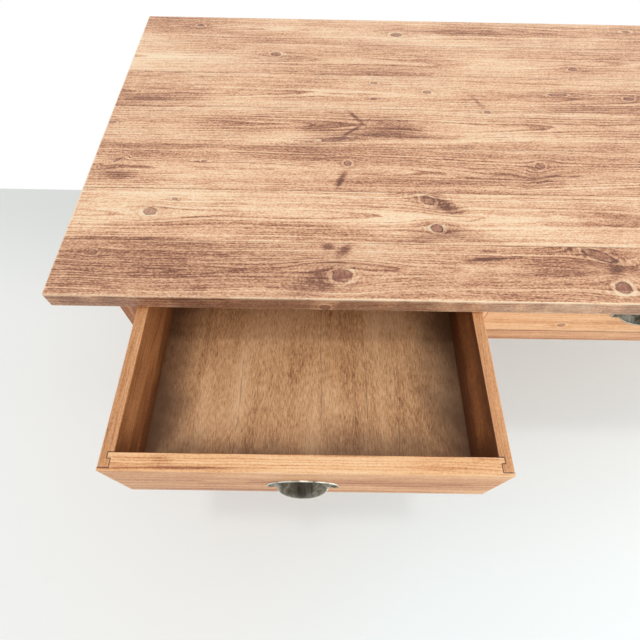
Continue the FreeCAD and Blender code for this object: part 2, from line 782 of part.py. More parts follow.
def button_places():
    """Middle of each button's screw and the way its tongue points, in degrees."""
    places = []
    for step in SIDE_BUTTON_BOARDS:
        reach = f"({APRON_INNER_X} - button_length / 2)"
        places.append((times(-1, reach), f"({step} * {BOARD_WIDTH})", 2 * QUARTER_TURN))
        places.append((reach, f"({step} * {BOARD_WIDTH})", 0))
    for step in BACK_BUTTON_STEPS:
        y = f"({APRON_INNER_Y} - button_length / 2)"
        places.append((back_button_place(step), y, QUARTER_TURN))
    return places


def make_button(number, x, y, degrees):
    """One wooden button: a block with a tongue for its slot and a hole for its screw."""
    block = new_solid("Box", f"button_block_{number}", Length="button_length",
                      Width="button_width", Height="button_height")
    place(block, "(-button_length / 2)", "(-button_width / 2)", "(-button_height)")
    tongue = new_solid("Box", f"button_tongue_{number}", Length="button_tongue_length",
                       Width="button_width", Height="button_tongue_thickness")
    place(tongue, "(button_length / 2)", "(-button_width / 2)", "(-button_height)")
    hole = new_rod(f"button_hole_{number}", "button_screw_radius",
                   "(button_height + 2 * cut_overrun)")
    place(hole, "0", "0", "(-button_height - cut_overrun)")
    body = join(f"button_body_{number}", [block, tongue])
    button = boolean("Cut", f"button_{number}", body, hole)
    turn(button, FreeCAD.Vector(0, 0, 1), degrees)
    place(button, x, y, LEG_HEIGHT)
    return button


def make_button_screw(number, x, y):
    """One screw up through a button into the board above it."""
    shank = new_rod(f"button_shank_{number}", "button_screw_radius",
                    "(button_height + button_screw_grip)")
    place(shank, "0", "0", "(-button_height)")
    head = new_rod(f"button_head_{number}", "button_screw_head_radius", "button_screw_head_height")
    place(head, "0", "0", "(-button_height - button_screw_head_height)")
    screw = join(f"button_screw_{number}", [shank, head])
    place(screw, x, y, LEG_HEIGHT)
    return screw


def make_buttons():
    """All the buttons below the top, and their screws."""
    buttons = []
    screws = []
    for number, (x, y, degrees) in enumerate(button_places(), start=1):
        buttons.append(make_button(number, x, y, degrees))
        screws.append(make_button_screw(number, x, y))
    group("top_buttons", buttons)
    group("top_button_screws", screws)


# Drawers

def drawer_place(name):
    """Where a drawer's own origin lies: the middle of its front's lower edge."""
    out = "drawer_open" if name == "left" else "0"
    middle = times(DRAWER_STEPS[name], DRAWER_PITCH)
    return middle, f"({BASE_FRONT} - {out})", DRAWER_BOTTOM


def pull_shift(name):
    """How far left of its drawer's middle a pull was screwed on."""
    return "left_pull_shift" if name == "left" else "0"


def make_drawer_front(name):
    """The front, with half of a drawer lock joint at each end and bores for the pull."""
    front = new_piece(f"{name}_drawer_front", *drawer_place(name))
    hook = f"({DRAWER_HALF} - hook_width)"
    tongue = f"({DRAWER_HALF} - side_thickness + tongue_reach)"
    right_end = [
        (DRAWER_HALF, "0"),
        (DRAWER_HALF, "lip_thickness"),
        (hook, "lip_thickness"),
        (hook, HOOK_END),
        (tongue, HOOK_END),
        (tongue, "front_thickness"),
    ]
    left_end = [(f"(-{x})", y) for x, y in reversed(right_end)]
    pad_plan(front, right_end + left_end, "drawer_height")
    names = []
    for level in ("0", "drawer_height"):
        names += edges_at(front, y="0", z=level)
    for end in (DRAWER_HALF, f"(-{DRAWER_HALF})"):
        names += edges_at(front, x=end, y="0")
    ease(front, "Fillet", names, "drawer_arris_radius")
    ease(front, "Fillet", edges_at(front, y="front_thickness", z="drawer_height"),
         "drawer_arris_radius")
    across = (f"(-{BOTTOM_HALF})", BOTTOM_HALF)
    along = ("(front_thickness - front_groove_depth)", "(front_thickness + cut_overrun)")
    cut_blocks(front, [(across, along, ("bottom_rise", BOTTOM_TOP))])
    spots = [(f"({sign} * pull_screw_spacing / 2 - {pull_shift(name)})",
              "(pull_rise + pull_screw_rise)") for sign in (-1, 1)]
    bore(front, "XZ", spots, "pull_screw_radius", "pull_screw_grip", False)


def make_drawer_side(name, end_name, end):
    """One side, with its half of the lock joint, a housing for the back and a groove."""
    x, y, z = drawer_place(name)
    inward = -end
    panel = new_piece(f"{name}_drawer_{end_name}_side", f"({x} + {times(end, DRAWER_HALF)})", y, z)
    inner = times(inward, "side_thickness")
    hook = times(inward, "hook_width")
    tongue = times(inward, "(side_thickness - tongue_reach)")
    housing = times(inward, "(side_thickness - groove_depth)")
    pad_plan(panel, [
        ("0", "lip_thickness"),
        (hook, "lip_thickness"),
        (hook, HOOK_END),
        (tongue, HOOK_END),
        (tongue, "front_thickness"),
        (inner, "front_thickness"),
        (inner, BACK_FRONT),
        (housing, BACK_FRONT),
        (housing, BACK_REAR),
        (inner, BACK_REAR),
        (inner, DRAWER_LENGTH),
        ("0", DRAWER_LENGTH),
    ], "drawer_height")
    names = edges_at(panel, x="0", z="drawer_height")
    names += edges_at(panel, x=inner, z="drawer_height")
    ease(panel, "Fillet", names, "drawer_arris_radius")
    across = (housing, times(inward, "(side_thickness + cut_overrun)"))
    along = ("front_thickness", f"({DRAWER_LENGTH} + cut_overrun)")
    cut_blocks(panel, [(across, along, ("bottom_rise", BOTTOM_TOP))])


def make_drawer_back(name):
    """The back, housed in the sides and standing on the bottom."""
    back = new_piece(f"{name}_drawer_back", *drawer_place(name))
    across = (f"(-{BOTTOM_HALF})", BOTTOM_HALF)
    pad_block(back, (across, (BACK_FRONT, BACK_REAR),
                     (BOTTOM_TOP, "(drawer_height - back_drop)")))
    names = []
    for y in (BACK_FRONT, BACK_REAR):
        names += edges_at(back, y=y, z="(drawer_height - back_drop)")
    ease(back, "Fillet", names, "drawer_arris_radius")


def make_drawer_bottom(name):
    """The plywood bottom, held in the grooves and passing below the back."""
    bottom = new_piece(f"{name}_drawer_bottom", *drawer_place(name))
    across = (f"(-{BOTTOM_HALF})", BOTTOM_HALF)
    along = ("(front_thickness - front_groove_depth)", BACK_REAR)
    pad_block(bottom, (across, along, ("bottom_rise", BOTTOM_TOP)))


def dome_plan(pull, extra, sides, turned):
    """The half oval of the dome's lower edge, with something added to its reach all round."""
    sketch = new_sketch(pull, "XY", "0")
    base = "0"
    if turned:
        sketch.setExpression("AttachmentOffset.Base.y", bound(DOME_AXIS))
        base = f"(-{DOME_AXIS})"
    rise = f"(-(dome_reach {extra}))"
    draw_half_oval(sketch, base, f"(dome_width / 2 {extra})", rise, sides)
    return sketch


def make_cup_pull(name):
    """A half-moon plate with a hollow quarter dome that fingers reach under."""
    x, y, z = drawer_place(name)
    pull = new_piece(f"{name}_cup_pull", f"({x} - {pull_shift(name)})", y,
                     f"({z} + pull_rise)")
    half = "(pull_width / 2)"
    moon = new_sketch(pull, "XZ", "0")
    draw_half_oval(moon, "0", half, "pull_height", PLATE_SIDES)
    extrude(pull, moon, "Pad", "plate_thickness", False)
    outside = dome_plan(pull, "+ 0", DOME_SIDES, True)
    revolve(pull, "Revolution", outside, QUARTER_TURN, False)
    rim = dome_plan(pull, "+ rim_swell", DOME_SIDES, False)
    extrude(pull, rim, "Pad", "rim_height", False)
    inside = dome_plan(pull, "- dome_wall", DOME_INNER_SIDES, True)
    revolve(pull, "Groove", inside, 2 * QUARTER_TURN, True)
    behind = ("0", f"({DOME_AXIS} + cut_overrun)")
    top = f"({DOME_AXIS} + dome_reach + cut_overrun)"
    cut_blocks(pull, [((f"(-{half})", half), behind, ("0", top))])
    spots = [(f"({sign} * pull_screw_spacing / 2)", "pull_screw_rise") for sign in (-1, 1)]
    bore_through(pull, "XZ", spots, "pull_screw_radius")


def make_pull_screws(name):
    """The two screws that hold a pull to its drawer front."""
    x, y, z = drawer_place(name)
    screws = []
    for sign in (-1, 1):
        shank = new_rod(f"{name}_pull_shank", "pull_screw_radius",
                        "(plate_thickness + pull_screw_grip)")
        turn(shank, *ALONG_Y)
        place(shank, "0", "(-plate_thickness)", "0")
        head = new_rod(f"{name}_pull_head", "pull_screw_head_radius", "pull_screw_head_height")
        turn(head, *ALONG_Y)
        place(head, "0", "(-plate_thickness - pull_screw_head_height)", "0")
        screw = join(f"{name}_pull_screw", [shank, head])
        place(screw, f"({x} + {sign} * pull_screw_spacing / 2 - {pull_shift(name)})", y,
              f"({z} + pull_rise + pull_screw_rise)")
        screws.append(screw)
    group(f"{name}_pull_screws", screws)


def make_drawer(name):
    """All the pieces of one drawer."""
    make_drawer_front(name)
    make_drawer_side(name, "left", -1)
    make_drawer_side(name, "right", 1)
    make_drawer_back(name)
    make_drawer_bottom(name)
    make_cup_pull(name)
    make_pull_screws(name)


def make_table():
    """Every piece of the table, from the top down."""
    for index in range(BOARD_COUNT):
        make_board(index)
    for depth_name, depth_side in (("front", -1), ("back", 1)):
        for side_name, side in (("left", -1), ("right", 1)):
            make_leg(f"leg_{depth_name}_{side_name}", side, depth_side)
    for side_name, side in (("left", -1), ("right", 1)):
        make_side_apron(f"side_apron_{side_name}", side)
        make_side_runner(f"runner_{side_name}", side)
        make_side_guide(f"guide_{side_name}", side)
        make_stile(f"stile_{side_name}", side)
        make_bearer(f"bearer_{side_name}", side)
        make_inner_runner(f"runner_inner_{side_name}", side)
        make_inner_guide(f"guide_inner_{side_name}", side)
    make_back_apron()
    make_front_rail()
    make_drawer_stops()
    make_pegs()
    make_buttons()
    for name in DRAWER_STEPS:
        make_drawer(name)


def check_document():
    """Stop if an object failed or a piece has no sound shape."""
    document.recompute()
    for item in document.Objects:
        if "Invalid" in item.State or "Error" in item.State:
            raise RuntimeError(f"{item.Label} failed: {item.State}")
    for piece in pieces:
        if piece.Shape.isNull() or not piece.Shape.isValid():
            raise RuntimeError(f"{piece.Label} has no valid shape")


def write_pieces():
    """Write each piece to its own file."""
    os.makedirs("parts", exist_ok=True)
    for piece in pieces:
        piece.Shape.exportStep(f"parts/{piece.Label}.step")
        print(piece.Label, len(piece.Shape.Solids), round(piece.Shape.Volume))


fill_sheet()
make_table()
check_document()
write_pieces()
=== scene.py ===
"""Farmhouse table: stained pine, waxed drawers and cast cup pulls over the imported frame."""

from __future__ import annotations

import logging
import math
from collections.abc import Callable, Iterable, Sequence
from dataclasses import dataclass, field, replace
from enum import Enum

import bmesh
import bpy
from mathutils import Matrix, Vector


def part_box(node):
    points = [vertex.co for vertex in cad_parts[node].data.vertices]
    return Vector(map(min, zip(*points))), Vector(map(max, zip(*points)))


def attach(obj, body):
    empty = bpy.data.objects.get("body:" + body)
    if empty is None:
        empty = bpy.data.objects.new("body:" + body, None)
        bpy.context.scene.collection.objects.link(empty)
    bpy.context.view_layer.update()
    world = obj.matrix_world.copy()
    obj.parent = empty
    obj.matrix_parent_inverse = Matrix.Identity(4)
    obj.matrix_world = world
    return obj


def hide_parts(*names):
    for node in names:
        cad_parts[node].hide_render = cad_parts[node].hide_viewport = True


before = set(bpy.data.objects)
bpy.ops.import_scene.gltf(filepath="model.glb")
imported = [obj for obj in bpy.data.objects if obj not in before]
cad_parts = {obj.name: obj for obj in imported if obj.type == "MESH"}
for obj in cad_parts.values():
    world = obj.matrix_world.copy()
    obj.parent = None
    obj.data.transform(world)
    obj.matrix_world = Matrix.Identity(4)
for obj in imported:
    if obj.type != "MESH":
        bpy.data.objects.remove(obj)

log = logging.getLogger("farmhouse_table")
MM = 0.001
Rgb = tuple[int, int, int]
Triple = tuple[float, float, float]
ORIGIN: Triple = (0.0, 0.0, 0.0)
# Far more than any piece measures, for a mark that has no end one way
WIDE = 9.0
RELIEF_HEIGHT = 0.5 * MM
MARK_COVER = 0.85


def stain(colour: Rgb) -> tuple[float, ...]:
    """Turn a colour as it is seen, from 0 to 255, into linear light with an alpha of 1."""
    shares = (part / 255 for part in colour)
    return (*(share / 12.92 if share <= 0.04045 else ((share + 0.055) / 1.055) ** 2.4
              for share in shares), 1.0)


class Signal:
    """What comes out of one socket, ready for plain arithmetic."""

    def __init__(self, sheet: NodeSheet, socket: bpy.types.NodeSocket) -> None:
        """Remember the sheet and the socket."""
        self.sheet = sheet
        self.socket = socket

    def __add__(self, other: Operand) -> Signal:
        """Sum of two values."""
        return self.sheet.maths("ADD", self, other)

    def __radd__(self, other: Operand) -> Signal:
        """Sum with a plain number first."""
        return self.sheet.maths("ADD", other, self)

    def __sub__(self, other: Operand) -> Signal:
        """Difference of two values."""
        return self.sheet.maths("SUBTRACT", self, other)

    def __rsub__(self, other: Operand) -> Signal:
        """Difference with a plain number first."""
        return self.sheet.maths("SUBTRACT", other, self)

    def __mul__(self, other: Operand) -> Signal:
        """Product of two values."""
        return self.sheet.maths("MULTIPLY", self, other)

    def __rmul__(self, other: Operand) -> Signal:
        """Product with a plain number first."""
        return self.sheet.maths("MULTIPLY", other, self)

    def __truediv__(self, other: Operand) -> Signal:
        """Quotient of two values."""
        return self.sheet.maths("DIVIDE", self, other)


Operand = Signal | float


class NodeSheet:
    """A node tree with short ways to place and wire its nodes."""

    def __init__(self, tree: bpy.types.NodeTree) -> None:
        """Start on an empty tree."""
        self.tree = tree
        tree.nodes.clear()

    def feed(self, socket: bpy.types.NodeSocket, source: object) -> None:
        """Wire a signal or a node's first output to a socket, or set the socket's value."""
        if isinstance(source, Signal):
            self.tree.links.new(source.socket, socket)
        elif isinstance(source, bpy.types.Node):
            self.tree.links.new(source.outputs[0], socket)
        else:
            socket.default_value = source

    def node(self, kind: str, inputs: dict[str | int, object] | None = None,
             **settings: object) -> bpy.types.Node:
        """Place a node.

        Args:
            kind: the node's type.
            inputs: what feeds its sockets, by name or number.
            settings: properties to set on it.

        Returns:
            The new node.
        """
        made = self.tree.nodes.new(kind)
        for name, setting in settings.items():
            setattr(made, name, setting)
        for name, source in (inputs or {}).items():
            self.feed(made.inputs[name], source)
        return made

    def signal(self, kind: str, inputs: dict[str | int, object] | None = None,
               out: str | int = 0, **settings: object) -> Signal:
        """Place a node and give one of its outputs, the first if none is named."""
        return Signal(self, self.node(kind, inputs, **settings).outputs[out])

    def maths(self, operation: str, *values: Operand) -> Signal:
        """The result of a Math node."""
        return self.signal("ShaderNodeMath", dict(enumerate(values)), operation=operation)

    def vector(self, operation: str, *values: object) -> Signal:
        """The result of a Vector Math node, or its number where it gives one."""
        return self.signal("ShaderNodeVectorMath", dict(enumerate(values)),
                           "Value" if operation == "LENGTH" else "Vector",
                           operation=operation)

    def split(self, source: Signal) -> tuple[Signal, ...]:
        """The three parts of a vector."""
        made = self.node("ShaderNodeSeparateXYZ", {0: source})
        return tuple(Signal(self, socket) for socket in made.outputs)

    def join(self, *parts: Operand) -> Signal:
        """A vector made of three values."""
        return self.signal("ShaderNodeCombineXYZ", dict(enumerate(parts)))

    def noise(self, place: Signal, scale: float, detail: float = 2.0,
              roughness: float = 0.5, stretch: Triple | None = None,
              distortion: float = 0.0) -> Signal:
        """A noise value from 0 to 1.

        Args:
            place: where it is read.
            scale: how many waves a metre.
            detail: octaves of finer noise.
            roughness: the strength of the finer noise.
            stretch: what the place is multiplied by before it is read.
            distortion: how far the noise is stirred.

        Returns:
            The noise at that place.
        """
        if stretch:
            place = self.vector("MULTIPLY", place, stretch)
        return self.signal("ShaderNodeTexNoise", {
            "Vector": place, "Scale": scale, "Detail": detail, "Roughness": roughness,
            "Distortion": distortion})

    def ramp(self, source: Operand, low: Operand, high: Operand,
             start: float = 0.0, end: float = 1.0) -> Signal:
        """A smooth step from one value to another.

        Args:
            source: the value that is measured.
            low: where the step starts.
            high: where it ends.
            start: what it gives below the step.
            end: what it gives above the step.

        Returns:
            The stepped value.
        """
        return self.signal("ShaderNodeMapRange", {
            "Value": source, "From Min": low, "From Max": high, "To Min": start,
            "To Max": end}, interpolation_type="SMOOTHSTEP")

    def tones(self, source: Operand, colours: Sequence[Rgb]) -> Signal:
        """A colour picked from an even scale, from 0 for the first to 1 for the last."""
        made = self.node("ShaderNodeValToRGB", {0: source})
        scale = made.color_ramp.elements
        for count, colour in enumerate(colours):
            place = count / (len(colours) - 1)
            step = scale[0] if count == 0 else (
                scale[-1] if place == 1 else scale.new(place))
            step.position, step.color = place, stain(colour)
        return Signal(self, made.outputs[0])

    def mix(self, share: Operand, first: object, second: object) -> Signal:
        """Two colours mixed, with the second showing by its share."""
        return self.signal("ShaderNodeMix", {0: share, 6: first, 7: second}, 2,
                           data_type="RGBA")

    def use(self, effect: str, **inputs: object) -> dict[str, Signal]:
        """Place a shared effect.

        Args:
            effect: its name in EFFECTS.
            inputs: signals or values by the name of the group's input.

        Returns:
            Its outputs by name.
        """
        made = self.node("ShaderNodeGroup", inputs, node_tree=EFFECTS[effect].tree)
        return {socket.name: Signal(self, socket) for socket in made.outputs}


class Effect:
    """A shader node group that several materials share."""

    def __init__(self, name: str, inputs: dict[str, float | Triple],
                 recipe: Callable[[NodeSheet, dict[str, Signal]], dict[str, Signal]]) -> None:
        """Build the group once.

        Args:
            name: what the group is called.
            inputs: starting values by name; a triple makes a vector.
            recipe: wires the inputs to the outputs, which it gives by name.
        """
        self.tree = bpy.data.node_groups.new(name, "ShaderNodeTree")
        self.vectors = {label for label, start in inputs.items() if isinstance(start, tuple)}
        for label, start in inputs.items():
            self.add_socket(label, "INPUT").default_value = start
        sheet = NodeSheet(self.tree)
        entry = sheet.node("NodeGroupInput")
        results = recipe(sheet, {label: Signal(sheet, entry.outputs[label])
                                 for label in inputs})
        for label in results:
            self.add_socket(label, "OUTPUT")
        sheet.node("NodeGroupOutput", results)

    def add_socket(self, label: str, way: str) -> bpy.types.NodeTreeInterfaceSocket:
        """Add a socket for a vector or a plain number."""
        kind = "NodeSocketVector" if label in self.vectors else "NodeSocketFloat"
        return self.tree.interface.new_socket(name=label, in_out=way, socket_type=kind)


def spot_of(sheet: NodeSheet, given: dict[str, Signal]) -> tuple[Signal, ...]:
    """How far a point lies from a mark, along its length and across it, with the lean."""
    along, across, depth = sheet.split(sheet.vector("SUBTRACT", given["Place"], given["At"]))
    turned, slope = (sheet.maths(part, given["Slant"]) for part in ("COSINE", "SINE"))
    near = (along * turned + across * slope) / given["Length"]
    beside = (across * turned - along * slope) / given["Width"]
    return near, beside, depth / given["Deep"], across


def knot_recipe(sheet: NodeSheet, given: dict[str, Signal]) -> dict[str, Signal]:
    """A knot: its core, its dark rim and pale ring, and the grain bent round it."""
    place = given["Place"]
    near, beside, deep, across = spot_of(sheet, given)

    def cloud(long: float, wide: float) -> Signal:
        """A soft cloud round the knot, which fades by a rate along and one across."""
        return sheet.maths(
            "EXPONENT", -long * (near * near) - wide * (beside * beside) - deep * deep)

    rough = sheet.noise(place, 120.0, 3.0, 0.6) - 0.5
    plain = sheet.maths("SQRT", near * near + beside * beside + deep * deep)
    reach = plain * (1.0 + 0.8 * rough)
    rings = 0.8 + 0.2 * sheet.maths("SINE", reach * 17.0)
    core = (1.0 - sheet.ramp(reach, 0.82, 1.0)) * given["Dark"] * rings
    broken = sheet.ramp(sheet.noise(place, 75.0, 2.0), 0.36, 0.6, 0.35, 1.0)
    rim = (sheet.ramp(reach, 0.72, 0.92) * (1.0 - sheet.ramp(reach, 0.98, 1.14))
           * given["Rim"] * broken)
    halo = sheet.ramp(reach, 0.98, 1.16) * (1.0 - sheet.ramp(reach, 1.3, 1.75)) * given["Halo"]
    swerve = across * cloud(0.07, 0.2) * given["Push"]
    return {
        "Place": sheet.vector("SUBTRACT", place, sheet.join(0.0, swerve, 0.0)),
        "Marks": sheet.vector("MAXIMUM", given["Marks"], sheet.join(core, rim, halo)),
        "Smoke": given["Smoke"] + cloud(0.09, 0.3) * given["Haze"] * (1.0 + 1.6 * rough),
    }


def smudge_recipe(sheet: NodeSheet, given: dict[str, Signal]) -> dict[str, Signal]:
    """A soft dark or pale streak that fades at its edges."""
    near, beside, deep, _ = spot_of(sheet, given)
    rough = sheet.noise(given["Place"], 90.0, 3.0, stretch=(0.3, 1.0, 1.0)) - 0.5
    reach = (near * near + beside * beside + deep * deep) * (1.0 + 2.2 * rough)
    smoke = sheet.maths("EXPONENT", -1.0 * reach) * given["Dark"]
    return {"Smoke": given["Smoke"] + smoke * (1.0 + 1.4 * rough)}


# The layers of a board's tone: waves a metre, octaves, roughness and squeeze along the grain
FIGURE_LAYERS = {
    "Cloud": (12.0, 2.0, 0.5, 0.24),
    "Streak": (90.0, 3.0, 0.6, 0.02),
    "Fibre": (360.0, 4.0, 0.75, 0.06),
    "Mottle": (430.0, 2.0, 0.6, 0.55),
}


def figure_recipe(sheet: NodeSheet, given: dict[str, Signal]) -> dict[str, Signal]:
    """The growth rings of a sawn board, read in three dimensions from its face."""
    seed = given["Seed"]
    place = sheet.vector("ADD", given["Place"], sheet.join(seed * 7.3, seed * 2.9, seed * 3.1))
    along, across, depth = sheet.split(given["Place"])
    slow = sheet.vector("MULTIPLY", place, (1.0, 4.0, 4.0))
    wander = (sheet.noise(slow, 2.4, 3.0, 0.5) - 0.5) * given["Wander"]
    sway = (sheet.noise(sheet.vector("ADD", slow, (9.1, 4.7, 2.3)), 1.7, 2.0) - 0.5) * 0.03
    side = across - given["Heart"] + sway
    below = (given["Bark"] + given["Rise"] * (along + 1.05)
             + sheet.maths("ABSOLUTE", given["Face"] - depth) * 1.5 + wander)
    radius = sheet.maths("SQRT", side * side + below * below)
    jag = (sheet.noise(place, 420.0, 3.0, 0.6, (0.04, 1.0, 1.0)) - 0.5) * 0.45
    uneven = (sheet.noise(sheet.join(radius, seed, 0.0), 60.0, 2.0) - 0.5) * 3.4
    age = radius / given["Ring"] + jag + uneven
    year = sheet.maths("FLOOR", age)
    part = age - year
    late = sheet.ramp(part, 0.42, 0.88) * (1.0 - sheet.ramp(part, 0.9, 1.0))
    tint = sheet.signal("ShaderNodeTexWhiteNoise", {"Vector": sheet.join(year, seed, 0.0)},
                        "Value", noise_dimensions="2D")
    weak = sheet.noise(place, 12.0, 2.0, stretch=(0.4, 1.0, 1.0))
    return {
        "Year": tint - 0.5,
        "Late": late * (0.35 + 0.65 * tint) * sheet.ramp(weak, 0.34, 0.56, 0.25, 1.0),
        **{name: sheet.noise(place, scale, detail, roughness, (squeeze, 1.0, 1.0))
           for name, (scale, detail, roughness, squeeze) in FIGURE_LAYERS.items()},
    }


def wear_recipe(sheet: NodeSheet, given: dict[str, Signal]) -> dict[str, Signal]:
    """How near a point lies to a long edge of a box, roughened as by rubbing."""
    place = given["Place"]
    low = sheet.vector("SUBTRACT", place, given["Low"])
    high = sheet.vector("SUBTRACT", given["High"], place)
    x, y, z = sheet.split(sheet.vector("MINIMUM", low, high))
    least = sheet.maths("MINIMUM", x, sheet.maths("MINIMUM", y, z))
    second = x + y + z - least - sheet.maths("MAXIMUM", x, sheet.maths("MAXIMUM", y, z))
    width = given["Width"] * (0.2 + 1.6 * sheet.noise(place, 38.0, 4.0, 0.65))
    reach = given["Reach"] * (0.3 + 1.4 * sheet.noise(place, 16.0, 4.0, 0.65))
    # The edge mask lightens edges for wear and a painted highlight; Inside and the corner mask
    # mark a hollow's faces and corners for painted shade.
    return {"Wear": 1.0 - sheet.ramp(second, 0.0, width),
            "Inside": sheet.ramp(least, -0.0011, -0.0007),
            "Dirt": 1.0 - sheet.ramp(second, 0.0, reach)}


def seam_recipe(sheet: NodeSheet, given: dict[str, Signal]) -> dict[str, Signal]:
    """A thin dark line round a flat box, roughened as an old joint is."""
    off = sheet.vector("ABSOLUTE", sheet.vector("SUBTRACT", given["Place"], given["At"]))
    over = sheet.vector("MAXIMUM", sheet.vector("SUBTRACT", off, given["Half"]), ORIGIN)
    thick = given["Width"] * (0.4 + 1.2 * sheet.noise(given["Place"], 260.0, 3.0))
    line = 1.0 - sheet.ramp(sheet.vector("LENGTH", over), thick * 0.4, thick)
    return {"Line": sheet.maths("MAXIMUM", given["Line"], line)}


def metal_recipe(sheet: NodeSheet, given: dict[str, Signal]) -> dict[str, Signal]:
    """Cast metal gone dull: broad clouds, fine pits and drips from top to bottom."""
    place = sheet.vector("ADD", given["Place"], sheet.join(given["Seed"], 0.0, 0.0))
    return {"Clouds": sheet.noise(place, 60.0, 4.0, 0.6, distortion=0.6),
            "Drips": sheet.noise(place, 170.0, 3.0, 0.55, (1.0, 0.25, 0.25)),
            "Pits": sheet.noise(place, 1400.0, 3.0, 0.7)}


EFFECTS = {
    "knot": Effect(
        "knot",
        {"Place": ORIGIN, "Marks": ORIGIN, "Smoke": 0.0, "At": ORIGIN, "Length": 0.02,
         "Width": 0.012, "Deep": WIDE, "Slant": 0.0, "Push": 0.8, "Dark": 1.0, "Rim": 0.8,
         "Halo": 0.6, "Haze": 0.3}, knot_recipe),
    "smudge": Effect(
        "smudge",
        {"Place": ORIGIN, "Smoke": 0.0, "At": ORIGIN, "Length": 0.05, "Width": 0.01,
         "Deep": WIDE, "Slant": 0.0, "Dark": 0.5}, smudge_recipe),
    "figure": Effect(
        "pine figure",
        {"Place": ORIGIN, "Seed": 0.0, "Heart": 0.0, "Face": 0.0, "Bark": 0.012,
         "Rise": 0.015, "Ring": 0.005, "Wander": 0.02}, figure_recipe),
    "wear": Effect(
        "wear and dirt",
        {"Place": ORIGIN, "Low": ORIGIN, "High": ORIGIN, "Width": 0.003, "Reach": 0.05},
        wear_recipe),
    "seam": Effect(
        "joint seam",
        {"Place": ORIGIN, "Line": 0.0, "At": ORIGIN, "Half": ORIGIN, "Width": 0.0011},
        seam_recipe),
    "metal": Effect("aged metal", {"Place": ORIGIN, "Seed": 0.0}, metal_recipe),
}


class Grain(Enum):
    """The way the fibres of a piece run, and the axis that its rings are stacked along."""

    ALONG_X = ("x", "y", "z")
    ALONG_X_UPRIGHT = ("x", "z", "y")
    ALONG_Y = ("y", "x", "z")
    ALONG_Y_UPRIGHT = ("y", "z", "x")
    ALONG_Z = ("z", "x", "y")


@dataclass(frozen=True)
class Knot:
    """A knot on a face, in metres along and across the grain.

    slant is in degrees; push bends the grain; level and deep place the knot in the board's
    depth; the rest are strengths from 0 to 1.
    """

    along: float
    across: float
    length: float = 0.012
    width: float = 0.008
    slant: float = 0.0
    push: float = 0.85
    dark: float = 0.9
    rim: float = 0.8
    halo: float = 0.6
    haze: float = 0.3
    level: float = 0.0
    deep: float = WIDE


@dataclass(frozen=True)
class Smudge:
    """A soft streak; a dark below 0 is a pale one."""

    along: float
    across: float
    length: float
    width: float
    slant: float = 0.0
    dark: float = 0.5
    level: float = 0.0
    deep: float = WIDE


@dataclass(frozen=True)
class Sawing:
    """How one board was cut from its log, in metres, and how light it is."""

    seed: float = 1.0
    heart: float = 0.0
    face: float = 0.0
    bark: float = 0.012
    rise: float = 0.015
    ring: float = 0.005
    wander: float = 0.02
    base: float = 0.0


@dataclass(frozen=True)
class Box:
    """A box in the frame's metres."""

    low: Vector
    high: Vector

    @classmethod
    def around(cls, *nodes: str) -> Box:
        """The box round some CAD nodes."""
        lows, highs = zip(*(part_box(node) for node in nodes))
        return cls(Vector(tuple(map(min, zip(*lows)))), Vector(tuple(map(max, zip(*highs)))))


@dataclass(frozen=True)
class Seam:
    """The line where two boards meet, as the middle and half size of a flat box."""

    at: Vector
    half: Vector

    @classmethod
    def between(cls, start: tuple[float, float], end: tuple[float, float],
                low: float, high: float) -> Seam:
        """The seam from one plan point to another, from a low to a high level."""
        first, last = Vector((*start, low)), Vector((*end, high))
        return cls((first + last) / 2, Vector(map(abs, (last - first) / 2)))


def sockets(record: object, *left_out: str) -> dict[str, object]:
    """A record's values by the names of the sockets that they feed."""
    return {name.capitalize(): value for name, value in vars(record).items()
            if name not in left_out}


def mark_sockets(mark: Knot | Smudge) -> dict[str, object]:
    """What feeds the node group of a knot or a streak."""
    return {**sockets(mark, "along", "across", "level"),
            "At": (mark.along, mark.across, mark.level), "Slant": math.radians(mark.slant)}


def new_material(name: str) -> tuple[bpy.types.Material, NodeSheet, Signal]:
    """A new material, its empty sheet and the object's own coordinates."""
    made = bpy.data.materials.new(name)
    made.use_nodes = True
    sheet = NodeSheet(made.node_tree)
    return made, sheet, sheet.signal("ShaderNodeTexCoord", out="Object")


def end_material(sheet: NodeSheet, inputs: dict[str, object], height: Signal | None = None,
                 strength: float = 0.0) -> None:
    """Place a material's shader and output.

    Args:
        sheet: the material's sheet.
        inputs: what feeds the shader, by the socket's name.
        height: the surface's fine relief, if it has any.
        strength: how much of it shows.
    """
    if height is not None:
        inputs["Normal"] = sheet.node("ShaderNodeBump", {
            "Strength": strength, "Distance": RELIEF_HEIGHT, "Height": height})
    sheet.node("ShaderNodeOutputMaterial",
               {"Surface": sheet.node("ShaderNodeBsdfPrincipled", inputs)})


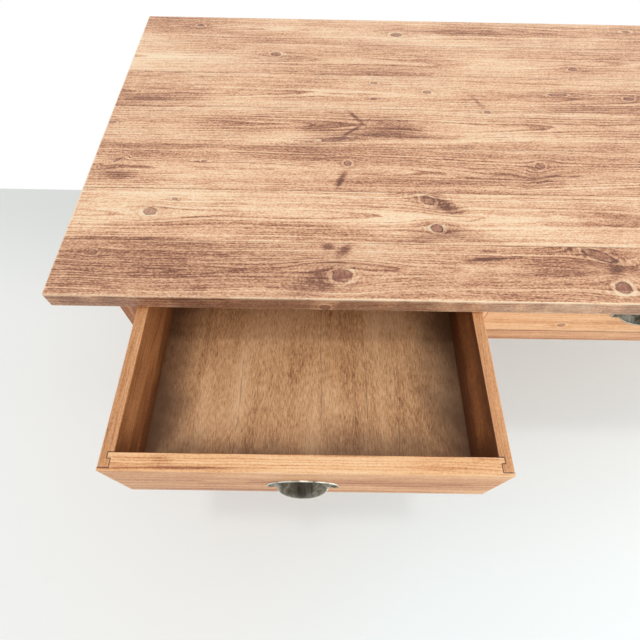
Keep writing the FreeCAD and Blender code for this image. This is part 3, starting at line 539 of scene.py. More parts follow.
@dataclass(frozen=True)
class PineFinish:
    """Stained and waxed pine, with its tones from the darkest to the lightest."""

    name: str
    tones: tuple[Rgb, ...]
    core: Rgb = (160, 106, 86)
    rim: Rgb = (82, 46, 34)
    smoke: Rgb = (110, 73, 58)
    joint: Rgb = (70, 36, 22)
    base: float = 0.60
    cloud: float = 0.8
    streak: float = 0.8
    fibre: float = 0.8
    mottle: float = 0.55
    late: float = 0.42
    year: float = 0.26
    # Lightens the edges: partly worn stain, partly a painted highlight on the arrises
    wear: float = 0.4
    wear_width: float = 0.004
    seam: float = 0.0
    # Painted shade on a drawer's inner faces, with more towards the hollow's corners and edges
    shade: float = 0.34
    dirt: float = 0.42
    roughness: float = 0.5
    coat: float = 0.08
    bump: float = 0.25

    def material(self, label: str, box: Box, grain: Grain, sawing: Sawing,
                 knots: Iterable[Knot] = (), smudges: Iterable[Smudge] = (),
                 wear_and_glint_box: Box | None = None, inside: Box | None = None,
                 seams: Iterable[Seam] = ()) -> bpy.types.Material:
        """Make the material of one piece.

        Args:
            label: the piece's name.
            box: its own box.
            grain: the way its fibres run.
            sawing: how it was cut.
            knots: its knots.
            smudges: its streaks.
            wear_and_glint_box: the box whose edges get wear and a painted highlight, if it
                isn't its own.
            inside: the inside of the drawer it belongs to.
            seams: the lines where it meets other boards.

        Returns:
            A material of its own for the piece.
        """
        made, sheet, spot = new_material(f"{self.name} {label}")
        parts = dict(zip("xyz", sheet.split(spot)))
        place, marks, smoke = self.lay_marks(
            sheet, sheet.join(*(parts[axis] for axis in grain.value)), knots, smudges)
        core, rim, halo = sheet.split(marks)
        figure = sheet.use("figure", Place=place, **sockets(sawing, "base"))
        # Lighter edges: partly worn stain, partly a painted highlight on the arrises
        worn_and_glint = sheet.use("wear", Place=spot, Width=self.wear_width,
                         **sockets(wear_and_glint_box or box))["Wear"]
        tone = (self.base + sawing.base + halo * 0.4 - smoke * 0.5 + worn_and_glint * self.wear
                - figure["Late"] * self.late + figure["Year"] * self.year)
        for name in FIGURE_LAYERS:
            tone = tone + (figure[name] - 0.5) * getattr(self, name.lower())
        # Painted shade on a drawer's inner faces, darker still towards the hollow's corners
        # and edges
        if inside:
            grime = sheet.use("wear", Place=spot, Reach=0.06, **sockets(inside))
            tone = tone - grime["Inside"] * (self.shade + grime["Dirt"] * self.dirt)
        colour = sheet.tones(tone, self.tones)
        tint = sheet.maths("MINIMUM", sheet.maths("MAXIMUM", smoke, 0.0) * 0.3, 0.7)
        for share, stained in ((tint, self.smoke), (core * MARK_COVER, self.core),
                               (rim * MARK_COVER, self.rim)):
            colour = sheet.mix(share, colour, stain(stained))
        if self.seam:
            gap = sheet.maths("MINIMUM", parts["y"] - box.low.y, box.high.y - parts["y"])
            faint = sheet.ramp(sheet.noise(spot, 22.0, 3.0), 0.3, 0.6, 0.3, 1.0)
            share = sheet.ramp(gap, 1.6 * MM, 0.3 * MM) * faint * self.seam
            colour = sheet.mix(share, colour, stain(self.rim))
        line: Operand = 0.0
        for seam in seams:
            line = sheet.use("seam", Place=spot, Line=line, **sockets(seam))["Line"]
        if isinstance(line, Signal):
            colour = sheet.mix(line * MARK_COVER, colour, stain(self.joint))
        end_material(sheet, {
            "Base Color": colour, "Coat Weight": self.coat, "Coat Roughness": 0.35,
            "Roughness": sheet.ramp(figure["Fibre"], 0.2, 0.8, self.roughness - 0.07,
                                    self.roughness + 0.1),
        }, figure["Fibre"] * 0.6 - figure["Late"] * 0.4, self.bump)
        return made

    def lay_marks(self, sheet: NodeSheet, place: Signal, knots: Iterable[Knot],
                  smudges: Iterable[Smudge]) -> tuple[Signal, Signal, Operand]:
        """Lay knots and streaks one after the other.

        Args:
            sheet: the material's sheet.
            place: where the grain is read.
            knots: the knots.
            smudges: the streaks.

        Returns:
            The bent place, the knots' core, rim and halo, and the smoke.
        """
        marks, smoke = sheet.join(*ORIGIN), sheet.maths("ADD", 0.0, 0.0)
        for knot in knots:
            out = sheet.use("knot", Place=place, Marks=marks, Smoke=smoke,
                            **mark_sockets(knot))
            place, marks, smoke = out["Place"], out["Marks"], out["Smoke"]
        for smudge in smudges:
            smoke = sheet.use("smudge", Place=place, Smoke=smoke,
                              **mark_sockets(smudge))["Smoke"]
        return place, marks, smoke


@dataclass(frozen=True)
class PlyFinish:
    """The thin plywood of a drawer's floor, with its pores, dark lines and painted shade along
    its front and side edges.
    """

    name: str = "plywood"
    tones: tuple[Rgb, ...] = (
        (92, 50, 22), (150, 96, 54), (202, 148, 98), (226, 174, 122), (244, 198, 150))
    line: Rgb = (92, 58, 36)
    # The colour of the painted shade along the floor's front and side edges
    dirt: Rgb = (90, 57, 32)
    base: float = 0.68
    roughness: float = 0.62

    def material(self, label: str, box: Box, lines: Sequence[float]) -> bpy.types.Material:
        """Make the material of one floor.

        Args:
            label: the piece's name.
            box: its box.
            lines: where its long dark lines run, in metres from its left edge.

        Returns:
            The material.
        """
        made, sheet, spot = new_material(f"{self.name} {label}")
        x, y, _ = sheet.split(spot)
        pores = sheet.noise(spot, 560.0, 4.0, 0.85, (1.0, 0.14, 1.0))
        bands = sheet.noise(spot, 42.0, 4.0, 0.6, (1.0, 0.05, 1.0))
        clouds = sheet.noise(spot, 9.0, 4.0, 0.6, (1.0, 0.5, 1.0))
        flecks = sheet.noise(spot, 260.0, 2.0, 0.6, (1.0, 0.3, 1.0))
        tone = (self.base + (pores - 0.5) * 2.4 + (bands - 0.5) * 0.8
                + (clouds - 0.5) * 1.2 + (flecks - 0.5) * 0.3)
        colour = sheet.tones(tone, self.tones)
        drift = (sheet.noise(spot, 5.0, 3.0, stretch=(0.2, 1.0, 1.0)) - 0.5) * 0.016
        for count, line in enumerate(lines):
            off = sheet.maths("ABSOLUTE", x + drift - (box.low.x + line))
            broken = sheet.noise(sheet.join(y, float(count), 0.0), 14.0, 3.0)
            share = (sheet.ramp(off, 0.0016, 0.0004)
                     * sheet.ramp(broken, 0.42, 0.56, 0.0, 0.45))
            colour = sheet.mix(share, colour, stain(self.line))
        # Painted shade near the floor's front and side edges, where the drawer's walls shade
        # it
        grime = sheet.noise(spot, 11.0, 4.0, 0.6)
        edge = sheet.maths("MINIMUM", sheet.maths("MINIMUM", x - box.low.x, box.high.x - x),
                           y - box.low.y)
        dirt = sheet.ramp(edge + (grime - 0.5) * 0.10, 0.10, 0.0)
        end_material(sheet, {
            "Base Color": sheet.mix(dirt * 0.9, colour, stain(self.dirt)),
            "Roughness": sheet.ramp(pores, 0.2, 0.8, self.roughness - 0.08,
                                    self.roughness + 0.1),
        }, pores, 0.3)
        return made


@dataclass(frozen=True)
class MetalFinish:
    """Cast or turned metal with an old surface."""

    name: str
    bright: Rgb
    dull: Rgb
    # The colour of dark drips and pits, also used for the painted dark reflection down a
    # pull's middle
    grime: Rgb
    # Pale rubbed edges, which also carry a painted highlight
    rubbed: Rgb = (236, 232, 214)
    roughness: float = 0.38
    metallic: float = 0.85
    bump: float = 0.35

    def material(self, label: str, seed: float = 0.0,
                 middle: float | None = None) -> bpy.types.Material:
        """Make the material.

        Args:
            label: the piece's name.
            seed: shifts the pattern.
            middle: where a painted dark reflection runs down it, in metres along x.

        Returns:
            The material.
        """
        made, sheet, spot = new_material(f"{self.name} {label}")
        old = sheet.use("metal", Place=spot, Seed=seed)
        clouds, pits = old["Clouds"], old["Pits"]
        grime = sheet.ramp(old["Drips"], 0.46, 0.70) * 0.45
        # Real dark drips, and down the middle a painted dark reflection
        if middle is not None:
            off = sheet.maths("ABSOLUTE", sheet.split(spot)[0] - middle)
            grime = grime + sheet.ramp(off + (clouds - 0.5) * 0.02, 0.026, 0.002, 0.0, 0.75)
        # Edges of the pull lightened for wear and a painted highlight
        rub_and_glint = sheet.signal("ShaderNodeAttribute", out="Fac", attribute_name="rubbed")
        colour = stain(self.bright)
        for share, stained in (
                (sheet.ramp(clouds, 0.35, 0.6), self.dull),
                (sheet.maths("MINIMUM", grime, 0.95), self.grime),
                (sheet.ramp(pits, 0.6, 0.75) * 0.5, self.grime),
                (rub_and_glint * sheet.ramp(clouds, 0.75, 0.45), self.rubbed)):
            colour = sheet.mix(share, colour, stain(stained))
        end_material(sheet, {
            "Base Color": colour, "Metallic": self.metallic,
            "Roughness": sheet.ramp(clouds, 0.3, 0.7, self.roughness - 0.1,
                                    self.roughness + 0.14),
        }, pits * 0.4 + clouds * 0.6, self.bump)
        return made


TOP_PINE = PineFinish(
    "stained top pine",
    ((122, 74, 50), (180, 122, 88), (226, 172, 132), (248, 202, 160), (255, 228, 190)),
    base=0.645, cloud=1.05, streak=0.4, fibre=1.2, mottle=1.25, late=0.52, year=0.30,
    seam=0.5, wear=0.65, wear_width=0.005)
FRAME_PINE = PineFinish(
    "frame pine",
    ((168, 104, 62), (204, 142, 94), (230, 174, 124), (246, 196, 148), (253, 214, 172)),
    cloud=0.7, streak=0.6, wear=0.45, wear_width=0.005)
# A darker copy of the frame pine: painted shade on the legs, which stand under the top
LEG_PINE = replace(FRAME_PINE, name="leg pine", base=0.16)
DRAWER_SIDE_PINE = PineFinish(
    "drawer side pine",
    ((104, 58, 26), (164, 105, 58), (206, 144, 92), (232, 174, 122), (246, 200, 150)),
    base=0.56, cloud=0.5, streak=0.3, late=0.22, year=0.08, wear=0.15)
DRAWER_FRONT_PINE = PineFinish(
    "drawer front pine",
    ((164, 96, 50), (214, 146, 92), (243, 186, 130), (250, 204, 154), (253, 222, 180)),
    cloud=1.1, late=0.5, mottle=0.7, wear=0.25, wear_width=0.003)
# Lit and shaded copies of the drawer side pine: the right side is lighter all over with more
# painted shade inside, the left has little painted shade inside
DRAWER_RIGHT_PINE = replace(DRAWER_SIDE_PINE, base=0.68, shade=0.42)
DRAWER_LEFT_PINE = replace(DRAWER_SIDE_PINE, shade=0.06, dirt=0.3)
INNER_PINE = PineFinish(
    "inner pine",
    ((150, 104, 66), (174, 126, 86), (198, 150, 106), (214, 170, 126), (226, 186, 144)),
    wear=0.1, roughness=0.65, coat=0.0)
PEG_OAK = PineFinish(
    "peg oak",
    ((136, 92, 58), (160, 114, 74), (184, 138, 94), (200, 156, 110), (212, 172, 128)),
    wear=0.1)
PLYWOOD = PlyFinish()
PEWTER = MetalFinish(
    "antique pewter", bright=(156, 154, 140), dull=(98, 90, 72), grime=(44, 34, 22),
    roughness=0.32, metallic=0.75)
STEEL = MetalFinish(
    "screw steel", bright=(150, 144, 132), dull=(104, 96, 82), grime=(58, 50, 40),
    roughness=0.42)


def dress(node: str, material: bpy.types.Material) -> None:
    """Give a CAD node a material of its own."""
    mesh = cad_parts[node].data
    mesh.materials.clear()
    mesh.materials.append(material)
    log.info("dressed %s in %s", node, material.name)


def add_piece(name: str, mesh: bpy.types.Mesh, body: str, slot: str,
              *nodes: str) -> bpy.types.Object:
    """Put a finished mesh into the scene.

    Args:
        name: the piece's name.
        mesh: its mesh, already in place.
        body: the body it moves with.
        slot: the record's material slot; not used.
        nodes: the CAD nodes it stands for.

    Returns:
        The piece's object.
    """
    made = bpy.data.objects.new(name, mesh)
    bpy.context.scene.collection.objects.link(made)
    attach(made, body)
    if nodes:
        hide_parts(*nodes)
    log.info("built %s: %d faces, rides on %s", name, len(mesh.polygons), body)
    return made


def solids_of(node: str) -> list[tuple[Vector, Vector]]:
    """Find the separate solids of a CAD node.

    Args:
        node: the node's name.

    Returns:
        The lowest and highest corner of each solid.
    """
    work = bmesh.new()
    work.from_mesh(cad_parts[node].data)
    bmesh.ops.remove_doubles(work, verts=work.verts, dist=1e-6)
    left, found = set(work.verts), []
    while left:
        patch, edge = set(), [left.pop()]
        while edge:
            vert = edge.pop()
            patch.add(vert)
            near = {end for link in vert.link_edges for end in link.verts} & left
            left -= near
            edge.extend(near)
        spots = [vert.co for vert in patch]
        found.append((Vector(map(min, *spots)), Vector(map(max, *spots))))
    work.free()
    return sorted(found, key=lambda box: tuple(box[0]))


class Fixings:
    """Pegs and screws, repeated by Geometry Nodes over the places that the frame gives."""

    INPUTS = {"Shank Radius": "Float", "Shank Length": "Float", "Head Radius": "Float",
              "Head Height": "Float", "Seed": "Int", "Finish": "Material"}
    SIDES = 24
    RINGS = 12

    def __init__(self, name: str, crown: float, slot: float = 0.0) -> None:
        """Build the tree that makes one kind of fixing.

        Args:
            name: what the tree is called.
            crown: how far its head's dome stands, as a share of the head's radius.
            slot: the width of the driver slot in metres, or 0 for none.
        """
        self.crown, self.slot = crown, slot
        self.tree = bpy.data.node_groups.new(name, "GeometryNodeTree")
        face = self.tree.interface
        face.new_socket(name="Places", in_out="INPUT", socket_type="NodeSocketGeometry")
        self.sockets = {
            label: face.new_socket(name=label, in_out="INPUT",
                                   socket_type=f"NodeSocket{kind}").identifier
            for label, kind in self.INPUTS.items()}
        face.new_socket(name="Fixings", in_out="OUTPUT", socket_type="NodeSocketGeometry")
        self.wire(NodeSheet(self.tree))

    def wire(self, sheet: NodeSheet) -> None:
        """Wire one fixing and lay it on every place, turned to face outwards."""
        entry = sheet.node("NodeGroupInput")
        given = {socket.name: Signal(sheet, socket) for socket in entry.outputs}
        shank = sheet.node("GeometryNodeMeshCylinder", {
            "Vertices": self.SIDES, "Radius": given["Shank Radius"],
            "Depth": given["Shank Length"]})
        sunk = sheet.join(0.0, 0.0, given["Shank Length"] * -0.5)
        sink = sheet.node("GeometryNodeTransform", {"Geometry": shank, "Translation": sunk})
        dome = sheet.node("GeometryNodeMeshUVSphere", {
            "Segments": self.SIDES, "Rings": self.RINGS, "Radius": given["Head Radius"]})
        head = sheet.node("GeometryNodeTransform",
                          {"Geometry": dome, "Scale": (1.0, 1.0, self.crown)})
        if self.slot:
            high = given["Head Height"]
            bar = sheet.node("GeometryNodeMeshCube", {
                "Size": sheet.join(given["Head Radius"] * 3.0, self.slot, high)})
            lift = sheet.node("GeometryNodeTransform", {
                "Geometry": bar, "Translation": sheet.join(0.0, 0.0, high)})
            head = sheet.node("GeometryNodeMeshBoolean", {0: head, 1: lift},
                              operation="DIFFERENCE")
        both = sheet.node("GeometryNodeJoinGeometry")
        for part in (sink, head):
            sheet.feed(both.inputs[0], part)
        facing = sheet.node("GeometryNodeInputNamedAttribute", {"Name": "facing"},
                            data_type="FLOAT_VECTOR")
        turn = sheet.node("FunctionNodeAlignRotationToVector", {"Vector": facing}, axis="Z")
        spin = sheet.signal("FunctionNodeRandomValue", {3: math.tau, "Seed": given["Seed"]},
                            1, data_type="FLOAT")
        about = sheet.node("FunctionNodeAxisAngleToRotation", {"Angle": spin})
        whole = sheet.node("FunctionNodeRotateRotation", {0: turn, 1: about},
                           rotation_space="LOCAL")
        lay = sheet.node("GeometryNodeInstanceOnPoints", {
            "Points": given["Places"], "Instance": both, "Rotation": whole})
        real = sheet.node("GeometryNodeRealizeInstances", {0: lay})
        paint = sheet.node("GeometryNodeSetMaterial",
                           {"Geometry": real, "Material": given["Finish"]})
        sheet.node("NodeGroupOutput", {0: paint})

    def lay(self, name: str, places: Sequence[tuple[Vector, Vector]],
            sizes: dict[str, object]) -> bpy.types.Mesh:
        """Run the tree over some places.

        Args:
            name: the mesh's name.
            places: the seat of each head and the way it faces.
            sizes: values by the name of the tree's input.

        Returns:
            One plain mesh of all the fixings.
        """
        seats = bpy.data.meshes.new(f"{name} places")
        seats.from_pydata([tuple(seat) for seat, _ in places], [], [])
        facing = seats.attributes.new("facing", "FLOAT_VECTOR", "POINT")
        for item, (_, way) in zip(facing.data, places):
            item.vector = way
        carrier = bpy.data.objects.new(f"{name} places", seats)
        bpy.context.scene.collection.objects.link(carrier)
        modifier = carrier.modifiers.new(name, "NODES")
        modifier.node_group = self.tree
        for label, size in sizes.items():
            modifier[self.sockets[label]] = size
        graph = bpy.context.evaluated_depsgraph_get()
        mesh = bpy.data.meshes.new_from_object(carrier.evaluated_get(graph))
        mesh.name = name
        carrier.modifiers.remove(modifier)
        bpy.data.objects.remove(carrier)
        for face in mesh.polygons:
            face.use_smooth = False
        return mesh


@dataclass(frozen=True)
class ScrewShape:
    """The sizes of a slotted screw in metres, and its dome's height by its radius."""

    head: float
    height: float
    crown: float
    shank: float = 2 * MM
    slot: float = 0.9 * MM

    def stand(self, node: str, body: str, title: str, axis: int, seed: int,
              finish: bpy.types.Material) -> None:
        """Stand slotted screws for those of a CAD node, with their heads at its low end.

        Args:
            node: the CAD node.
            body: the body it moves with.
            title: what the mesh is called.
            axis: the axis that the screws lie along.
            seed: turns their slots.
            finish: their material.
        """
        way = Vector((0, 0, 0))
        way[axis] = -1
        places = []
        for low, high in solids_of(node):
            seat = (low + high) / 2
            seat[axis] = low[axis] + self.height
            places.append((seat, way))
            length = high[axis] - low[axis] - self.height
        mesh = Fixings(title, self.crown, self.slot).lay(title, places, {
            "Shank Radius": self.shank, "Shank Length": length, "Head Radius": self.head,
            "Head Height": self.height, "Seed": seed, "Finish": finish})
        add_piece(f"{node}_slotted", mesh, body, "screw_steel", node)


BUTTON_SCREW = ScrewShape(head=4 * MM, height=2.4 * MM, crown=0.55)
PULL_SCREW = ScrewShape(head=4.2 * MM, height=1.8 * MM, crown=0.42)


@dataclass
class Tabletop:
    """Seven stained boards with their own figure, the front one first."""

    finish: PineFinish = TOP_PINE
    sawings: tuple[Sawing, ...] = (
        Sawing(1.0, -0.367, 0.78, 0.006, 0.020, 0.0046, 0.030, -0.04),
        Sawing(2.0, -0.248, 0.78, 0.008, 0.022, 0.0062, 0.024, 0.06),
        Sawing(3.0, -0.130, 0.78, 0.016, 0.018, 0.0044, 0.026, -0.05),
        Sawing(4.0, 0.006, 0.78, 0.010, 0.020, 0.0048, 0.028, -0.02),
        Sawing(5.0, 0.112, 0.78, 0.018, 0.016, 0.0044, 0.026, -0.02),
        Sawing(6.0, 0.240, 0.78, 0.008, 0.022, 0.0048, 0.028, 0.04),
        Sawing(7.0, 0.372, 0.78, 0.012, 0.018, 0.0046, 0.026, 0.02),
    )
    knots: tuple[tuple[Knot, ...], ...] = (
        (Knot(-0.566, -0.378, 0.017, 0.013, dark=0.6, rim=0.6, halo=1.0, haze=0.1),
         Knot(-0.108, -0.393, 0.013, 0.012, dark=1.0, halo=1.0, haze=0.3),
         Knot(-0.127, -0.328, 0.028, 0.010, -24, dark=0.4, rim=1.0, halo=0.5),
         Knot(-0.987, -0.337, 0.008, 0.006, dark=0.3, halo=0.3, haze=0.1),
         Knot(-0.594, -0.425, 0.009, 0.012, push=0.3, level=0.757, deep=0.007),
         Knot(0.312, -0.351, 0.013, 0.009), Knot(0.701, -0.386, 0.015, 0.011, haze=0.5),
         Knot(0.935, -0.340, 0.008, 0.005)),
        (Knot(-0.909, -0.242, 0.012, 0.009, halo=0.45),
         Knot(-0.398, -0.272, 0.011, 0.009, dark=1.0, rim=1.0, halo=0.9, haze=0.6),
         Knot(-0.407, -0.204, 0.014, 0.010, -30, dark=0.25, rim=0.7, haze=0.5),
         Knot(-0.870, -0.212, 0.006, 0.004), Knot(0.168, -0.231, 0.012, 0.008),
         Knot(0.482, -0.268, 0.014, 0.010, haze=0.5), Knot(0.856, -0.222, 0.010, 0.007)),
        (Knot(-0.552, -0.108, 0.007, 0.008, dark=1.0, rim=1.0, haze=0.3),
         Knot(-0.177, -0.107, 0.010, 0.009, 35, dark=0.4, rim=0.6, haze=0.25),
         Knot(-0.186, -0.151, 0.009, 0.004, 20, dark=0.5),
         Knot(-0.831, -0.109, 0.006, 0.003), Knot(-0.999, -0.111, 0.008, 0.003, 35),
         Knot(0.361, -0.139, 0.012, 0.008), Knot(0.763, -0.094, 0.013, 0.009)),
        (Knot(-0.576, -0.038, 0.028, 0.006, 10, haze=0.8),
         Knot(-1.035, 0.003, 0.008, 0.004),
         Knot(-0.251, 0.057, 0.007, 0.004), Knot(0.124, 0.012, 0.013, 0.009),
         Knot(0.547, -0.031, 0.010, 0.007), Knot(0.914, 0.024, 0.011, 0.007)),
        (Knot(-0.372, 0.125, 0.009, 0.006), Knot(-0.084, 0.123, 0.020, 0.005, haze=0.3),
         Knot(0.071, 0.113, 0.011, 0.006), Knot(-0.488, 0.155, 0.008, 0.004),
         Knot(-0.491, 0.097, 0.007, 0.004), Knot(0.405, 0.137, 0.012, 0.008),
         Knot(0.802, 0.104, 0.010, 0.006)),
        (Knot(-0.713, 0.262, 0.012, 0.008), Knot(-0.023, 0.222, 0.010, 0.007),
         Knot(0.217, 0.270, 0.008, 0.005), Knot(0.634, 0.238, 0.012, 0.008)),
        (Knot(-0.423, 0.356, 0.013, 0.009), Knot(0.157, 0.390, 0.010, 0.006),
         Knot(0.585, 0.349, 0.011, 0.008), Knot(-0.908, 0.383, 0.009, 0.006)),
    )
    smudges: tuple[tuple[Smudge, ...], ...] = (
        (Smudge(-0.900, -0.426, 0.40, 0.004, dark=0.5),
         Smudge(-0.200, -0.426, 0.30, 0.004, dark=-0.5),
         Smudge(-0.590, -0.318, 0.010, 0.009, dark=1.0),
         Smudge(-0.562, -0.326, 0.008, 0.016, -35, 1.2),
         Smudge(-0.610, -0.392, 0.05, 0.020, 20, 0.7),
         Smudge(-0.321, -0.339, 0.032, 0.0032, 6, 1.5),
         Smudge(-0.316, -0.322, 0.014, 0.003, 0, 0.8),
         Smudge(-0.185, -0.365, 0.07, 0.010, dark=0.5),
         Smudge(-0.108, -0.356, 0.012, 0.022, -20, 0.9),
         Smudge(-0.850, -0.367, 0.46, 0.085, dark=0.38)),
        (Smudge(-0.372, -0.214, 0.024, 0.008, -25, 1.0),
         Smudge(-0.420, -0.292, 0.05, 0.012, 12, 0.7),
         Smudge(-0.352, -0.288, 0.05, 0.014, -10, 0.6),
         Smudge(-0.930, -0.305, 0.09, 0.004, dark=0.7),
         Smudge(-0.640, -0.262, 0.20, 0.010, dark=-0.25),
         Smudge(-0.160, -0.262, 0.26, 0.030, dark=-0.3)),
        (Smudge(-0.985, -0.149, 0.03, 0.010, dark=0.7),
         Smudge(-0.566, -0.155, 0.0045, 0.024, -20, 1.4),
         Smudge(-0.200, -0.135, 0.10, 0.012, dark=0.35)),
        (Smudge(-0.424, -0.028, 0.09, 0.006, dark=0.8),
         Smudge(-0.532, 0.032, 0.030, 0.0042, -55, 0.95),
         Smudge(-0.540, -0.012, 0.032, 0.0042, 48, 0.95),
         Smudge(-0.455, 0.004, 0.055, 0.022, dark=0.45),
         Smudge(-0.610, -0.006, 0.035, 0.014, dark=0.5)),
        (Smudge(-0.265, 0.090, 0.026, 0.005, -65, 0.5),
         Smudge(-0.958, 0.086, 0.06, 0.008, dark=0.6),
         Smudge(-0.084, 0.127, 0.06, 0.008, dark=0.3)),
        (Smudge(-0.700, 0.250, 0.12, 0.010, dark=0.4),),
        (Smudge(-0.300, 0.370, 0.16, 0.010, dark=0.4),),
    )

    def build(self) -> None:
        """Dress each board in a material of its own."""
        names = [f"top_board_{count}" for count in range(1, len(self.sawings) + 1)]
        whole = Box.around(*names)
        for node, sawing, knots, smudges in zip(names, self.sawings, self.knots,
                                                self.smudges):
            dress(node, self.finish.material(
                node, Box.around(node), Grain.ALONG_X, sawing, knots, smudges, whole))


@dataclass
class Base:
    """Legs, aprons, rail and the hidden frame that carries the drawers."""

    boards: tuple[tuple[PineFinish, Grain, str], ...] = (
        (LEG_PINE, Grain.ALONG_Z,
         "leg_front_left leg_front_right leg_back_left leg_back_right"),
        (FRAME_PINE, Grain.ALONG_Y_UPRIGHT, "side_apron_left side_apron_right"),
        (FRAME_PINE, Grain.ALONG_X_UPRIGHT, "back_apron front_rail"),
        (FRAME_PINE, Grain.ALONG_Z, "stile_left stile_right"),
        (INNER_PINE, Grain.ALONG_Y,
         "bearer_left bearer_right runner_left runner_right runner_inner_left "
         "runner_inner_right guide_left guide_right guide_inner_left guide_inner_right "
         "drawer_stops"),
        (INNER_PINE, Grain.ALONG_X, "top_buttons"),
    )
    peg_crown: float = 0.12
    peg_fit: float = 0.999

    def build(self) -> None:
        """Dress the frame and lay its pegs and screws."""
        rows = [(node, finish, grain) for finish, grain, nodes in self.boards
                for node in nodes.split()]
        for count, (node, finish, grain) in enumerate(rows, 1):
            streaks = self.rail_streaks() if node == "front_rail" else ()
            dress(node, plain_board(node, finish, grain, float(count), smudges=streaks))
        self.lay_pegs()
        BUTTON_SCREW.stand("top_button_screws", "table", "button screws", 2, 9,
                           STEEL.material("button screws"))

    def rail_streaks(self) -> tuple[Smudge, ...]:
        """The rail's darker stain, the line below its top edge and a darker band along its
        foot.
        """
        low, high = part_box("front_rail")
        return (Smudge(0.0, 0.0, WIDE, WIDE, dark=0.26),
                Smudge(0.0, high.z - 5 * MM, WIDE, 1.6 * MM, dark=0.9),
                Smudge(0.0, low.z + 2 * MM, WIDE, 4 * MM, dark=0.5))

    def lay_pegs(self) -> None:
        """Stand round pegs for the pegs of the tenons."""
        pegs = Fixings("round pegs", self.peg_crown)
        places = []
        for low, high in solids_of("joint_pegs"):
            size, middle = high - low, (low + high) / 2
            axis = max(range(3), key=lambda part: size[part])
            way = Vector((0, 0, 0))
            way[axis] = math.copysign(1, middle[axis])
            length, radius = size[axis], min(size) / 2
            crown = radius * self.peg_crown
            places.append((middle + way * (length / 2 - crown), way))
        mesh = pegs.lay("joint pegs", places, {
            "Shank Radius": radius * self.peg_fit, "Shank Length": length - crown,
            "Head Radius": radius * self.peg_fit, "Head Height": crown, "Seed": 3,
            "Finish": PEG_OAK.material("pegs", Box.around("joint_pegs"), Grain.ALONG_Z,
                                       Sawing(21.0))})
        add_piece("joint_pegs_round", mesh, "table", "peg_oak", "joint_pegs")


def plain_board(node: str, finish: PineFinish, grain: Grain, seed: float,
                knots: Iterable[Knot] = (), smudges: Iterable[Smudge] = (),
                inside: Box | None = None,
                seams: Iterable[Seam] = ()) -> bpy.types.Material:
    """Make the material of a board with a figure from its own box.

    Args:
        node: the CAD node.
        finish: its finish.
        grain: the way its fibres run.
        seed: makes its figure its own.
        knots: its knots.
        smudges: its streaks.
        inside: the inside of the drawer it belongs to.
        seams: the lines where it meets other boards.

    Returns:
        The material.
    """
    box = Box.around(node)
    middle = dict(zip("xyz", (box.low + box.high) / 2))
    _, across, depth = grain.value
    sawing = Sawing(
        seed, middle[across] + 12 * MM * math.sin(seed * 5.1),
        dict(zip("xyz", box.low))[depth], bark=0.016, rise=0.012, ring=0.0042, wander=0.018)
    return finish.material(node, box, grain, sawing, knots, smudges, inside=inside,
                           seams=seams)


def span_rows(work: bmesh.types.BMesh, rows: Sequence[Sequence[bmesh.types.BMVert]],
              closed: bool = False, flip: bool = False) -> None:
    """Lay faces between neighbouring rows of points.

    Args:
        work: the mesh.
        rows: rows of equal length.
        closed: whether each row is a ring.
        flip: whether the faces are turned over.
    """
    for first, second in zip(rows, rows[1:]):
        for step in range(len(first) if closed else len(first) - 1):
            after = (step + 1) % len(first)
            face = (first[step], first[after], second[after], second[step])
            work.faces.new(face[::-1] if flip else face)


def bent(share: float, power: float) -> float:
    """A share from -1 to 1 drawn out by a power, with its sign kept."""
    return math.copysign(abs(share) ** power, share)


